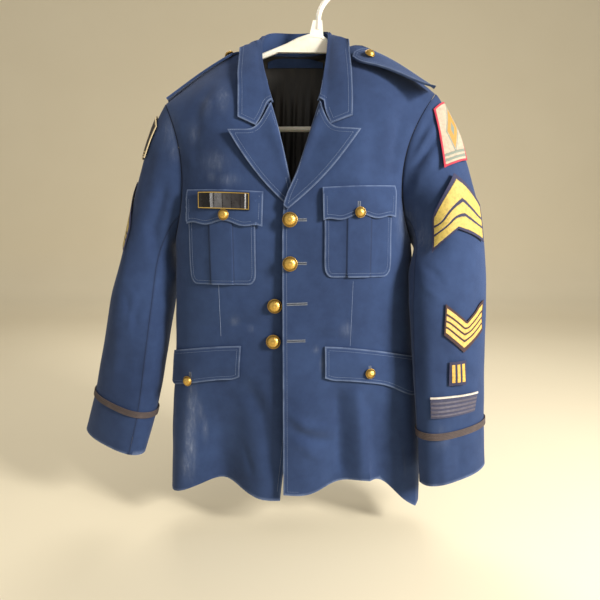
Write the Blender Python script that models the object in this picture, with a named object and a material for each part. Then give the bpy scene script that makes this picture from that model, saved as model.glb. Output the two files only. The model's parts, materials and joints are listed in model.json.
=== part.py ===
"""Dress uniform jacket hanging on a moulded plastic hanger.

Metres, +Z up. The jacket faces -Y, and the wearer's left is +X. The origin is the inside top of the
hanger's hook, the point that holds it up. Every panel is a wall of cloth, worked out from tables of
real sizes in millimetres. A panel's rows run from the hem to the shoulder seam, and its columns run
from the front edge or the centre back to the side seam and armhole.
"""

import math

import bmesh
import bpy
import numpy as np

MM = 0.001

# Driving sizes, in millimetres.
CLOTH = 2.0
LINING_CLOTH = 1.2
LAPEL_CLOTH = 2.6
BADGE_CLOTH = 1.2
SEAM_GAP = 0.4
LAY_GAP = 0.9
FRONT_BUTTON = 22.9
SMALL_BUTTON = 16.5
HANGER_TUBE = 8.6
UP = np.array([0.0, 0.0, 1.0])

# Rows of a front panel from the hem up. inner is the front edge, then the roll line, then the neckline.
# belly pushes the middle of the row forward. share is how far up the panel the row stands.
LEFT_FRONT_ROWS = (
    # share, inner x, y, z, belly
    (0.00, -56, -84, -832, 0),
    (0.15, -56, -86, -720, 0),
    (0.30, -56, -88, -600, 0),
    (0.42, -56, -90, -500, 2),
    (0.50, -56, -92, -428, 5),
    (0.58, -55, -90, -372, 7),
    (0.66, -34, -84, -318, 10),
    (0.76, -14, -74, -256, 12),
    (0.84, 1, -62, -208, 12),
    (0.92, 20, -38, -156, 8),
    (1.00, 38, -8, -105, 0),
)
RIGHT_FRONT_ROWS = (
    (0.00, -62, -70, -850, 0),
    (0.15, -48, -72, -722, 0),
    (0.30, -36, -75, -602, 0),
    (0.42, -31, -79, -500, 2),
    (0.50, -30, -83, -428, 5),
    (0.58, -34, -80, -372, 8),
    (0.66, -46, -75, -318, 11),
    (0.76, -60, -70, -256, 13),
    (0.84, -73, -60, -210, 13),
    (0.92, -92, -36, -160, 9),
    (1.00, -112, -3, -110, 0),
)
# Rows of a back half, from the hem up. inner is the centre back seam, then the back neckline.
LEFT_BACK_ROWS = (
    (0.00, -37, 44, -850, 0),
    (0.15, -37, 42, -735, 0),
    (0.30, -37, 40, -612, 0),
    (0.42, -37, 43, -505, 2),
    (0.50, -37, 47, -430, 3),
    (0.58, -37, 50, -365, 4),
    (0.66, -37, 51, -300, 4),
    (0.76, -37, 49, -225, 4),
    (0.84, -37, 45, -165, 4),
    (0.92, -37, 40, -105, 3),
    (0.94, -13, 36, -105, 2),
    (0.97, 16, 22, -104, 1),
    (1.00, 38, -8, -105, 0),
)
RIGHT_BACK_ROWS = LEFT_BACK_ROWS[:-3] + (
    (0.94, -61, 36, -105, 2),
    (0.97, -90, 24, -106, 1),
    (1.00, -112, -3, -110, 0),
)
# Side seams, from the hem up to the underarm.
LEFT_SIDE_ROWS = (
    # share, x, y, z
    (0.00, 178, 4, -862),
    (0.15, 178, 4, -742),
    (0.30, 173, 3, -615),
    (0.42, 168, 1, -505),
    (0.50, 159, 0, -424),
)
RIGHT_SIDE_ROWS = (
    (0.00, -259, 4, -850),
    (0.15, -255, 4, -735),
    (0.30, -246, 3, -612),
    (0.42, -242, 1, -503),
    (0.50, -240, 0, -422),
)
UNDERARM_SHARE = 0.50
# How far each shoulder line bows up between the neck and the armhole.
SHOULDER_BOW = {"left": 20, "right": 9}
GORGE = 0.836
BACK_NECK = 0.92
NECK_POINT = 0.36
NECK_MIDDLE = np.array([-37.0, -10.0, -70.0])
# Armholes. scoop is how far the front and back of the loop cut in towards the body.
ARMHOLES = {
    # side: tip x, y, z, front depth, back depth, front scoop, back scoop, fullness of the sleeve head
    "left": (189, -22, -186, 46, 42, 42, 18, 0.74),
    "right": (-250, -5, -196, 48, 38, 30, 16, 0.70),
}
# Soft folds of the skirt: at a share of the row, how far they push out at the hem, and how wide.
LEFT_FRONT_FOLDS = (
    # share of the row, push, width, starts at z
    (0.34, -20, 0.11, -560),
    (0.50, 8, 0.07, -600),
    (0.63, -12, 0.08, -560),
    (0.82, 16, 0.11, -520),
)
RIGHT_FRONT_FOLDS = (
    (0.12, 4, 0.06, -500),
    (0.44, -34, 0.16, -560),
    (0.78, 12, 0.08, -600),
)
BACK_FOLDS = (
    (0.30, -8, 0.12, -560),
    (0.62, 7, 0.10, -560),
)
# The hem's own line, as a lift in millimetres at a share of the row.
LEFT_HEM_LIFT = ((0.32, 20, 0.12), (0.45, 20, 0.09), (0.60, 34, 0.12), (0.80, -14, 0.10))
RIGHT_HEM_LIFT = ((0.48, 24, 0.22),)
BACK_HEM_LIFT = ((0.5, 4, 0.2),)

# Sleeves, as rings from the biceps to the cuff. out and front are half sizes across the arm.
LEFT_SLEEVE_ROWS = (
    # share, x, y, z, out, front, yaw, tilt and twist in degrees
    (0.00, 206, -60, -480, 68, 40, 20, 3, 44),
    (0.25, 209, -64, -560, 65, 38, 20, 3, 50),
    (0.50, 211, -68, -640, 61, 36, 20, 5, 54),
    (0.75, 216, -70, -718, 59, 33, 20, 8, 57),
    (1.00, 222, -70, -797, 60, 29, 20, 11, 60),
)
RIGHT_SLEEVE_ROWS = (
    (0.00, -291, 10, -478, 47, 59, 8, 4, 0),
    (0.25, -308, 8, -552, 52, 52, 12, 6, 3),
    (0.50, -322, 4, -626, 56, 44, 17, 10, 6),
    (0.75, -338, 0, -702, 59, 36, 22, 17, 8),
    (1.00, -359, -2, -771, 64, 28, 26, 14, 10),
)
# Deep folds of the sleeves: angle round the arm, share down it, push, width in degrees and in share.
LEFT_SLEEVE_FOLDS = (
    (-12, 0.26, -13, 26, 0.07),
    (28, 0.20, 9, 26, 0.07),
    (10, 0.66, -6, 30, 0.06),
    (60, 0.72, 6, 40, 0.05),
)
RIGHT_SLEEVE_FOLDS = (
    (-20, 0.40, -9, 26, 0.08),
    (10, 0.56, 7, 26, 0.10),
    (-10, 0.70, -8, 30, 0.06),
    (60, 0.47, 5, 40, 0.05),
)
SLEEVE_SHARE_OF_CAP = 0.42
SLEEVE_LENGTH = 612

# The collar's three lines round the neck, from the right gorge over the back to the left gorge.
COLLAR_ROWS = (
    # share, seam x, y, z, fold x, y, z, edge x, y, z
    (0.00, -76, -54, -206, -72, -66, -208, -123, -77, -237),
    (0.10, -86, -42, -176, -80, -50, -172, -124, -66, -196),
    (0.22, -103, -22, -136, -88, -24, -126, -126, -40, -146),
    (0.32, -108, 0, -112, -87, 2, -86, -121, 4, -112),
    (0.42, -84, 30, -105, -66, 27, -69, -86, 56, -104),
    (0.50, -37, 41, -102, -37, 34, -67, -37, 64, -108),
    (0.58, 10, 28, -104, -10, 27, -69, 12, 56, -104),
    (0.68, 33, -6, -106, 15, -4, -82, 48, -6, -108),
    (0.78, 27, -28, -134, 12, -28, -122, 50, -48, -146),
    (0.90, 12, -44, -172, 6, -52, -168, 51, -70, -196),
    (1.00, 4, -56, -204, 0, -68, -206, 50, -79, -236),
)
COLLAR_NOTCH = {"right": (-96, -73, -250), "left": (18, -76, -248)}
LAPEL_NOTCH = {"right": (-96, -73, -256.5), "left": (17.5, -76, -254.5)}
LAPEL_PEAK = {"right": (-137, -258), "left": (61, -258)}
LAPEL_BREAK = {"right": (-43, -374), "left": (-47, -375)}
LAPEL_EDGE_BULGE = 7

# Chest pockets and flaps on the front view, by their corners.
CHEST_POCKETS = {
    # side: left x, right x, top z, bottom z, top shift of the right corner, button x, z
    "left": (8, 112, -352, -479, 6, 59.5, -379),
    "right": (-203, -97, -352, -491, -6, -143, -383),
}
CHEST_FLAPS = {
    "left": (5, 117, -343, -50),
    "right": (-204, -85, -342, -54),
}
# The strip of cloth inside the back neck: how far it reaches each way, its top and its depth.
FACING_REACH = 48
FACING_TOP = -107
FACING_DEPTH = 15
FACING_END_DROP = 6
POCKET_CORNER = 16
PLEAT_WIDTH = 38
PLEAT_LIFT = 1.6
# Skirt flaps, by where they lie along the row from the front edge and up the panel.
SKIRT_FLAPS = {
    # side: near distance, far distance, near top z, far top z, near drop, far drop, button distance
    "left": (66, 226, -586, -612, 58, 66, 140),
    "right": (88, 222, -588, -606, 60, 60, 182),
}
FRONT_BUTTONS = {
    # name: x, z and whether it stands on the left front, which laps over
    "front_button_1": (-44, -391, True),
    "front_button_2": (-44, -457, True),
    "front_button_3": (-68.4, -523, False),
    "front_button_4": (-71, -580, False),
}

CHEST_BUTTONS = {"left": (59.5, -380), "right": (-143, -383)}
SKIRT_BUTTONS = {"left": (138, -634), "right": (176, -652)}
# The name plate's corners on the front view, upper left round to lower left.
NAME_PLATE = ((-182, -347), (-105, -351), (-105, -377), (-182, -373))
PLATE_THICK = 1.8

# Shoulder straps: how far they reach in front of the seam and behind it, from the armhole to the point.
STRAPS = {
    # side: share at the armhole, share at the point, front and back at the armhole, front and back at the point
    "left": (0.97, 0.16, 66, -20, 62, -20, 0.30),
    "right": (0.97, 0.13, 12, 34, 8, 30, 0.22),
}
STRAP_CLOTH = 3.0

# What is sewn round the sleeves. Each is set by its middle: millimetres below the shoulder point, and
# degrees round the arm. The rises say how much higher the middle of its top and of its bottom stand
# than their ends, the drops how much lower their outer side stands than their inner one at the top and
# at the bottom, and the lean how much further out the top stands than the bottom, all against the
# sleeve's own lines.
BADGES = {
    # name: side, down, degrees, width, height, top rise, bottom rise, top drop, bottom drop, lean, colour
    "shoulder_patch_left": ("left", 60, 62, 58, 92, 4, 0, 22, 14, 34, "badge_red"),
    "shoulder_patch_right": ("right", 62, 84, 58, 78, 10, -10, 0, 0, 0, "badge_navy"),
    "arm_chevron_left": ("left", 147, 39, 102, 84, 49, 24, 26, 13, 6, "badge_navy"),
    "arm_chevron_right": ("right", 160, 80, 94, 84, 62, 30, 0, 0, 0, "badge_navy"),
    "service_chevron_left": ("left", 355, 51, 72, 48, -30, -30, 0, 0, 0, "badge_navy"),
    "service_bars_left": ("left", 415, 44, 27, 36, 0, 0, 0, 0, 0, "badge_navy"),
    "cuff_band_left": ("left", 473, 42, 74, 30, 0, 0, 0, 0, 0, "badge_navy"),
}
# What a badge that crosses a deep fold of the sleeve stands off beyond the others.
FOLD_CLEARANCE = 0.5
CUFF_BRAID = {"left": 517, "right": 514}
BRAID_WIDTH = 12
PIPING_SIZE = 2.6

# Hanger: the loop of the arms and crossbar, the hook, and the web under the hook.
HANGER_ARMS_LEFT = ((10, -93), (30, -112), (46, -120), (80, -132.5), (130, -157.5), (176, -188.5))
HANGER_ARMS_RIGHT = ((-12, -90), (-50, -105), (-92, -121), (-114, -128.5), (-140, -136), (-170, -148.6), (-208, -173.6))
HANGER_BAR = ((186, -208), (172, -234), (120, -236), (-10, -236), (-150, -236), (-206, -230), (-224, -196))
HOOK_ROUTE = ((0, -80), (1, -60), (5, -46), (12, -35), (19, -27), (23, -15), (20, -3), (11, 4), (0, 5), (-11, 2))
HOOK_END = ((-19, -6), (-22, -16), (-21, -25))
HANGER_WEB = ((-8, -66), (7, -66), (9, -92), (28, -112), (26, -116), (-70, -115), (-56, -107), (-14, -90))
WEB_THICK = 4.4

COLOURS = {
    "jacket_blue": (0.048, 0.082, 0.185),
    "lining_black": (0.018, 0.015, 0.012),
    "braid_brown": (0.070, 0.062, 0.078),
    "badge_gold": (0.62, 0.44, 0.08),
    "badge_navy": (0.035, 0.035, 0.10),
    "badge_red": (0.55, 0.05, 0.05),
    "plate_black": (0.012, 0.010, 0.009),
    "button_brass": (0.80, 0.56, 0.16),
    "hanger_white": (0.86, 0.84, 0.78),
    "piping_white": (0.82, 0.78, 0.66),
}


def clear_scene():
    """Removes what the startup scene holds."""
    for old in list(bpy.data.objects):
        bpy.data.objects.remove(old, do_unlink=True)


def material(name, roughness=0.85, metallic=0.0):
    """The named colour as a Principled material, made once."""
    found = bpy.data.materials.get(name)
    if found:
        return found
    made = bpy.data.materials.new(name)
    made.use_nodes = True
    shader = made.node_tree.nodes["Principled BSDF"]
    shader.inputs["Base Color"].default_value = (*COLOURS[name], 1.0)
    shader.inputs["Roughness"].default_value = roughness
    shader.inputs["Metallic"].default_value = metallic
    return made


def unit(vectors):
    """Vectors at length one."""
    vectors = np.asarray(vectors, float)
    return vectors / np.maximum(np.linalg.norm(vectors, axis=-1, keepdims=True), 1e-9)


def ease(value):
    """A smooth step from 0 to 1."""
    value = np.clip(value, 0.0, 1.0)
    return value * value * (3 - 2 * value)


def hump(value, centre, width):
    """A soft bump of height one."""
    return np.exp(-(((value - centre) / width) ** 2))


class Track:
    """A smooth curve through the rows of a table, read by its first column."""

    def __init__(self, rows):
        table = np.array(rows, float)
        self.at, self.values = table[:, 0], table[:, 1:]
        slopes = np.diff(self.values, axis=0) / np.diff(self.at)[:, None]
        same_way = slopes[:-1] * slopes[1:] > 0
        total = np.where(same_way, slopes[:-1] + slopes[1:], 1.0)
        inner = np.where(same_way, 2 * slopes[:-1] * slopes[1:] / total, 0.0)
        self.slopes = np.vstack([slopes[:1], inner, slopes[-1:]])

    def __call__(self, where):
        """The row's values at that share."""
        i = int(np.clip(np.searchsorted(self.at, where) - 1, 0, len(self.at) - 2))
        long = self.at[i + 1] - self.at[i]
        u = (where - self.at[i]) / long
        a, b = self.values[i], self.values[i + 1]
        ma, mb = self.slopes[i] * long, self.slopes[i + 1] * long
        return (
            (2 * u**3 - 3 * u**2 + 1) * a
            + (u**3 - 2 * u**2 + u) * ma
            + (3 * u**2 - 2 * u**3) * b
            + (u**3 - u**2) * mb
        )


def hermite(start, start_pull, end, end_pull, u):
    """A point on the curve that leaves start along start_pull and arrives at end along end_pull."""
    return (
        (2 * u**3 - 3 * u**2 + 1) * start
        + (u**3 - 2 * u**2 + u) * start_pull
        + (3 * u**2 - 2 * u**3) * end
        + (u**3 - u**2) * end_pull
    )


class Armhole:
    """The loop that a sleeve is sewn to. Its angle is -90 at the underarm, 0 in front and 90 at the tip."""

    def __init__(self, side, side_rows):
        self.sign = 1 if side == "left" else -1
        tip = ARMHOLES[side]
        self.tip = np.array(tip[:3], float)
        self.front, self.back, self.front_scoop, self.back_scoop, self.fullness = tip[3:]
        self.low = np.array(side_rows[-1][1:], float)

    def __call__(self, degrees):
        """A point on the loop."""
        angle = math.radians(degrees)
        up = (1 + math.sin(angle)) / 2
        point = self.low + (self.tip - self.low) * up
        ahead = math.cos(angle)
        depth, scoop = (self.front, self.front_scoop) if ahead > 0 else (self.back, self.back_scoop)
        point[1] -= ahead * depth
        point[0] -= self.sign * scoop * ahead**2
        return point


class Panel:
    """A front or a back half of the body: rows from the hem up, columns out to the side and armhole."""

    def __init__(self, side, rows, side_rows, front, folds, lifts):
        self.sign = 1 if side == "left" else -1
        self.front = front
        self.inner, self.side = Track(rows), Track(side_rows)
        self.armhole = Armhole(side, side_rows)
        self.folds, self.lifts = folds, lifts
        self.bow = SHOULDER_BOW[side]

    def outer(self, up):
        """The row's end, on the side seam or on the armhole."""
        if up <= UNDERARM_SHARE:
            return self.side(up)
        g = (up - UNDERARM_SHARE) / (1 - UNDERARM_SHARE)
        angle = -90 + 180 * g
        return self.armhole(angle if self.front else 180 - angle)

    def row(self, up):
        """A dense curve along the row, and the distance along it."""
        x, y, z, belly = self.inner(up)
        outer = self.outer(up)
        turn = np.linspace(0, math.pi / 2, 61)
        g = max(0.0, (up - UNDERARM_SHARE) / (1 - UNDERARM_SHARE))
        power = 2 / (2.4 - 0.4 * min(1.0, g * 3))
        across, deep = np.sin(turn) ** power, np.cos(turn) ** power
        points = np.empty((len(turn), 3))
        points[:, 0] = x + (outer[0] - x) * across
        points[:, 1] = outer[1] + (y - outer[1]) * deep
        along = np.concatenate([[0], np.cumsum(np.hypot(*np.diff(points[:, :2], axis=0).T))])
        share = along / along[-1]
        ahead = -1 if self.front else 1
        points[:, 1] += ahead * belly * np.sin(math.pi * share) ** 1.5
        points[:, 2] = z + (outer[2] - z) * share
        points[:, 2] += self.bow * ease(g) * g * ease(share / 0.2) * np.sin(math.pi * share**0.75) ** 0.8
        return points, along, share

    def point(self, up, share, lift=0.0):
        """A point of the outer face, moved out by lift."""
        points, _, along = self.row(up)
        place = np.array([np.interp(share, along, points[:, k]) for k in range(3)])
        low = ease((-560 - place[2]) / 270)
        for centre, push, width in self.lifts:
            place[2] += push * hump(share, centre, width) * (1 - up / 0.3 if up < 0.3 else 0)
        if low > 0:
            ahead, behind = min(1, share + 0.01), max(0, share - 0.01)
            run = np.array([np.interp(ahead, along, points[:, k]) - np.interp(behind, along, points[:, k])
                            for k in (0, 1)])
            out = unit(np.array([-run[1], run[0], 0.0]))
            if out[1] * (-1 if self.front else 1) < 0 and abs(out[1]) > abs(out[0]):
                out = -out
            if abs(out[0]) >= abs(out[1]) and out[0] * self.sign < 0:
                out = -out
            for centre, push, width, start in self.folds:
                grows = ease((start - place[2]) / (start + 860)) * (1 - ease((share - 0.93) / 0.07))
                place += out * push * grows * hump(share, centre, width)
        return place if not lift else place + self.normal(up, share) * lift

    def normal(self, up, share):
        """The direction out of the cloth."""
        step = 0.006
        low, high = max(0.0, up - step), min(1.0, up + step)
        near, far = max(0.0, share - step), min(1.0, share + step)
        rise = self.point(high, share) - self.point(low, share)
        run = self.point(up, far) - self.point(up, near)
        out = unit(np.cross(run, rise))
        facing = np.array([0.55 * self.sign, -1.0 if self.front else 1.0, 0.15])
        return out if out @ facing > 0 else -out

    def find(self, x, z):
        """The share up and along where the outer face has that place in the front view."""
        up, share = self.first_guess(x, z)
        for _ in range(12):
            here = self.point(up, share)
            step = 1e-3
            by_up = (self.point(min(1, up + step), share) - here) / step
            by_share = (self.point(up, min(1, share + step)) - here) / step
            jacobian = np.array([[by_up[0], by_share[0]], [by_up[2], by_share[2]]])
            miss = np.array([x - here[0], z - here[2]])
            if np.abs(miss).max() < 0.02:
                break
            move = np.linalg.lstsq(jacobian, miss, rcond=1e-3)[0]
            up = float(np.clip(up + np.clip(move[0], -0.08, 0.08), 0.0, 0.998))
            share = float(np.clip(share + np.clip(move[1], -0.1, 0.1), 0.0, 0.998))
        return up, share

    def first_guess(self, x, z):
        """The nearest of a coarse net of places."""
        if not hasattr(self, "net"):
            self.net = [(u, s, self.point(u, s)) for u in np.linspace(0, 1, 33) for s in np.linspace(0, 0.95, 20)]
        best = min(self.net, key=lambda n: (n[2][0] - x) ** 2 + (n[2][2] - z) ** 2)
        return float(best[0]), float(best[1])

    def at(self, x, z, lift=0.0):
        """A point of the outer face, by its place in the front view."""
        return self.point(*self.find(x, z), lift)

    def at_distance(self, far, z, lift=0.0):
        """A point of the outer face, by its distance along the row from the front edge and its height."""
        up = 0.3
        for _ in range(30):
            points, along, share = self.row(up)
            height = np.interp(far, along, points[:, 2])
            up = float(np.clip(up + (z - height) / 850, 0, 1))
        along = self.row(up)[1]
        return self.point(up, float(np.clip(far / along[-1], 0, 1)), lift)


class Sleeve:
    """A sleeve from the armhole to the cuff. Its angle is -90 inside the arm, 0 in front and 90 outside."""

    def __init__(self, side, armhole, rows, folds):
        self.sign = armhole.sign
        self.armhole, self.rings, self.folds = armhole, Track(rows), folds

    def ring(self, share, degrees):
        """A point of an arm ring below the cap."""
        x, y, z, out, front, yaw, tilt, twist = self.rings(share)
        turn, tip, angle = math.radians(yaw), math.radians(tilt), math.radians(degrees - twist)
        across = np.array([self.sign * math.cos(turn), math.sin(turn), math.tan(tip)])
        ahead = np.array([self.sign * math.sin(turn), -math.cos(turn), 0.0])
        power = 2 / 2.3
        c, s = math.cos(angle), math.sin(angle)
        return (
            np.array([x, y, z])
            + across * out * math.copysign(abs(s) ** power, s)
            + ahead * front * math.copysign(abs(c) ** power, c)
        )

    def base(self, down, degrees):
        """A point before the folds. down is 0 at the armhole and 1 at the cuff."""
        if down >= SLEEVE_SHARE_OF_CAP:
            return self.ring((down - SLEEVE_SHARE_OF_CAP) / (1 - SLEEVE_SHARE_OF_CAP), degrees)
        start = self.armhole(degrees) + np.array([self.sign * SEAM_GAP * 2.2, 0, 0])
        end = self.ring(0.0, degrees)
        onward = (self.ring(0.04, degrees) - end) / 0.04
        long = np.linalg.norm(end - start)
        top = max(0.0, math.sin(math.radians(degrees)))
        leave = unit(np.array([self.sign * 1.0, -0.1 * math.cos(math.radians(degrees)), -0.5 - 0.7 * top]))
        leave = leave * long * self.armhole.fullness
        return hermite(start, leave, end, unit(onward) * long * 0.9, down / SLEEVE_SHARE_OF_CAP)

    def point(self, down, degrees, lift=0.0):
        """A point of the outer face, moved out by lift."""
        push = 0.0
        for centre, at, depth, wide, long in self.folds:
            away = (degrees - centre + 180) % 360 - 180
            skew = at + 0.0012 * away
            push += depth * hump(away, 0, wide) * hump(down, skew, long)
        place = self.base(down, degrees)
        if push or lift:
            place = place + self.normal(down, degrees) * (push + lift)
        return place

    def normal(self, down, degrees):
        """The direction out of the sleeve."""
        step = 0.004
        low, high = max(0.0, down - step), min(1.0, down + step)
        run = self.base(down, degrees + 2) - self.base(down, degrees - 2)
        fall = self.base(high, degrees) - self.base(low, degrees)
        out = unit(np.cross(fall, run)) * self.sign
        if down >= SLEEVE_SHARE_OF_CAP:
            centre = self.rings((down - SLEEVE_SHARE_OF_CAP) / (1 - SLEEVE_SHARE_OF_CAP))[:3]
            if (self.base(down, degrees) - centre) @ out < 0:
                out = -out
        return out

    def find(self, x, z, degrees=30.0):
        """The share down and the angle where the outer face has that place in the front view."""
        down = float(np.clip((-190 - z) / 610, 0.02, 0.98))
        for _ in range(20):
            here = self.point(down, degrees)
            by_down = (self.point(down + 1e-3, degrees) - here) / 1e-3
            by_turn = self.point(down, degrees + 1) - here
            jacobian = np.array([[by_down[0], by_turn[0]], [by_down[2], by_turn[2]]])
            miss = np.array([x - here[0], z - here[2]])
            if np.abs(miss).max() < 0.05:
                break
            move = np.linalg.lstsq(jacobian, miss, rcond=None)[0]
            down = float(np.clip(down + np.clip(move[0], -0.08, 0.08), 0.0, 0.998))
            degrees += float(np.clip(move[1], -12, 12))
        return down, degrees

    def at(self, x, z, lift=0.0, degrees=30.0):
        """A point of the outer face, by its place in the front view."""
        down, turn = self.find(x, z, degrees)
        return self.point(down, turn, lift)


def grid_normals(points, closed=False):
    """The direction out of a grid's face at each point, by the points round it."""
    if closed:
        run = np.roll(points, -1, axis=1) - np.roll(points, 1, axis=1)
    else:
        run = np.gradient(points, axis=1)
    return unit(np.cross(run, np.gradient(points, axis=0)))


def add_object(name, vertices, faces, finish, smooth=True):
    """A mesh object from points in millimetres, with its faces pointing out."""
    mesh = bpy.data.meshes.new(name)
    mesh.from_pydata([tuple(float(c) * MM for c in v) for v in vertices], [], faces)
    mesh.validate()
    made = bmesh.new()
    made.from_mesh(mesh)
    bmesh.ops.recalc_face_normals(made, faces=made.faces)
    made.to_mesh(mesh)
    made.free()
    if smooth:
        mesh.shade_smooth()
        mesh.set_sharp_from_angle(angle=math.radians(40))
    placed = bpy.data.objects.new(name, mesh)
    mesh.materials.append(finish)
    bpy.context.scene.collection.objects.link(placed)
    return placed


def wall(name, outer, inner, finish, closed=False):
    """One closed solid between two grids of points."""
    rows, columns = outer.shape[:2]
    count = rows * columns
    vertices = np.concatenate([outer.reshape(-1, 3), inner.reshape(-1, 3)])
    spans = columns if closed else columns - 1
    faces = []
    for i in range(rows - 1):
        for j in range(spans):
            k = (j + 1) % columns
            a, b, c, d = i * columns + j, i * columns + k, (i + 1) * columns + k, (i + 1) * columns + j
            faces.append((a, b, c, d))
            faces.append((count + d, count + c, count + b, count + a))
    for i in (0, rows - 1):
        for j in range(spans):
            a, b = i * columns + j, i * columns + (j + 1) % columns
            faces.append((a, b, count + b, count + a))
    if not closed:
        for j in (0, columns - 1):
            for i in range(rows - 1):
                a, b = i * columns + j, (i + 1) * columns + j
                faces.append((a, b, count + b, count + a))
    return add_object(name, vertices, faces, finish)


def panel_grid(panel, ups, shares, lift=0.0, push=None):
    """Points of a panel's outer face. push, if given, adds its own lift at each place."""
    return np.array([[panel.point(u, s, lift + (push(u, s) if push else 0.0)) for s in shares] for u in ups])


def build_panel(name, panel, partner, finish, rows=22, columns=15):
    """A front or back half as a wall of cloth. partner is the panel that it meets at the side and shoulder."""
    low_rows = np.linspace(0, UNDERARM_SHARE, rows // 2)
    if panel.front:
        high_rows = np.linspace(UNDERARM_SHARE, 1, rows - rows // 2 + 1)[1:]
    else:
        high_rows = np.array([0.57, 0.65, 0.74, 0.82, 0.875, BACK_NECK, 0.935, 0.95, 0.965, 0.98, 1.0])
    ups = np.concatenate([low_rows, high_rows])
    shares = np.linspace(0, 1, columns)
    shares = shares + 0.05 * np.sin(math.pi * shares) * shares
    outer = panel_grid(panel, ups, shares)
    normals = np.array([[panel.normal(u, s) for s in shares] for u in ups])
    if not panel.front:
        normals[ups <= BACK_NECK, 0] = unit(normals[ups <= BACK_NECK, 0] * np.array([0.0, 1.0, 0.4]))
    thick = np.full(outer.shape[:2], CLOTH)
    for j, share in enumerate(shares):
        shared = unit(normals[-1, j] + partner.normal(1.0, share))
        thick[-1, j] = min(2.0, 1 / max(0.5, shared @ normals[-1, j])) * CLOTH
        normals[-1, j] = shared
    for i, up in enumerate(ups):
        if up <= UNDERARM_SHARE:
            normals[i, -1] = unit(normals[i, -1] + partner.normal(up, 1.0))
    along = unit(outer[:, -1] - outer[:, -2])
    outer[:, -1] -= along * SEAM_GAP / 2
    climb = unit(outer[-1] - outer[-2])
    outer[-1] -= climb * SEAM_GAP / 2
    if not panel.front:
        lead = unit(outer[:, 1] - outer[:, 0])
        outer[:, 0] += lead * SEAM_GAP / 2
    return wall(name, outer, outer - normals * thick[..., None], finish)


def build_sleeve(name, sleeve, finish, first, last, rows=15, columns=12):
    """One of the sleeve's two cloths, between two angles round the arm."""
    downs = np.concatenate([np.linspace(0, SLEEVE_SHARE_OF_CAP, 7), np.linspace(SLEEVE_SHARE_OF_CAP, 1, rows - 6)[1:]])
    gap = 0.25
    angles = np.linspace(first + gap, last - gap, columns)
    outer = np.array([[sleeve.point(d, a) for a in angles] for d in downs])
    normals = np.array([[sleeve.normal(d, a) for a in angles] for d in downs])
    normals[0] = unit(normals[0] * np.array([0.2, 1.0, 1.0]))
    return wall(name, outer, outer - normals * CLOTH, finish)


def lay(name, place, us, vs, lifts, thickness, finish):
    """A piece that lies on another. place(u, v, lift) gives its points, and lifts(u, v) its height."""
    outer = np.array([[place(u, v, lifts(u, v) + thickness) for u in us] for v in vs])
    inner = np.array([[place(u, v, lifts(u, v)) for u in us] for v in vs])
    return wall(name, outer, inner, finish)


def flat_lift(height):
    """The same lift all over."""
    return lambda u, v: height


def neckline(where, panels, backs):
    """A place on the neckline: its panel and row. where is -1 at the right gorge, 0 at the back, 1 at the left."""
    side = "left" if where >= 0 else "right"
    far = abs(where)
    if far < NECK_POINT:
        return backs[side], BACK_NECK + (1 - BACK_NECK) * far / NECK_POINT
    return panels[side], 1 - (1 - GORGE) * (far - NECK_POINT) / (1 - NECK_POINT)


def neck_frame(where, panels, backs):
    """The neckline's point there, the way out of the cloth, and the way from the cloth into the neck hole."""
    panel, up = neckline(where, panels, backs)
    point = panel.point(up, 0.0)
    near, far = neckline(where - 0.03, panels, backs), neckline(where + 0.03, panels, backs)
    run = unit(far[0].point(far[1], 0.0) - near[0].point(near[1], 0.0))
    out = unit(near[0].normal(near[1], 0.01) + far[0].normal(far[1], 0.01) + panel.normal(up, 0.01))
    into = unit(np.cross(out, run))
    if into @ (NECK_MIDDLE - point) < 0:
        into = -into
    return point, out, into


def cloud(panel, rows=54, columns=34):
    """Points of a panel's outer face, with the way out at each."""
    grid = panel_grid(panel, np.linspace(0.2, 1, rows), np.linspace(0, 0.9, columns))
    normals = grid_normals(grid)
    if (normals[rows // 2, 4, 1] > 0) == panel.front:
        normals = -normals
    return grid.reshape(-1, 3), normals.reshape(-1, 3)


def clear_of(points, clouds, need):
    """Moves points out until they stand that far off the panels that they lie over."""
    for _ in range(3):
        for place in np.ndindex(points.shape[:2]):
            for ground, normals in clouds:
                away = ground - points[place]
                k = int(np.argmin((away**2).sum(axis=1)))
                high = -away[k] @ normals[k]
                if np.linalg.norm(away[k]) < 24 and high < need:
                    points[place] += normals[k] * (need - high)
    return points


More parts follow.
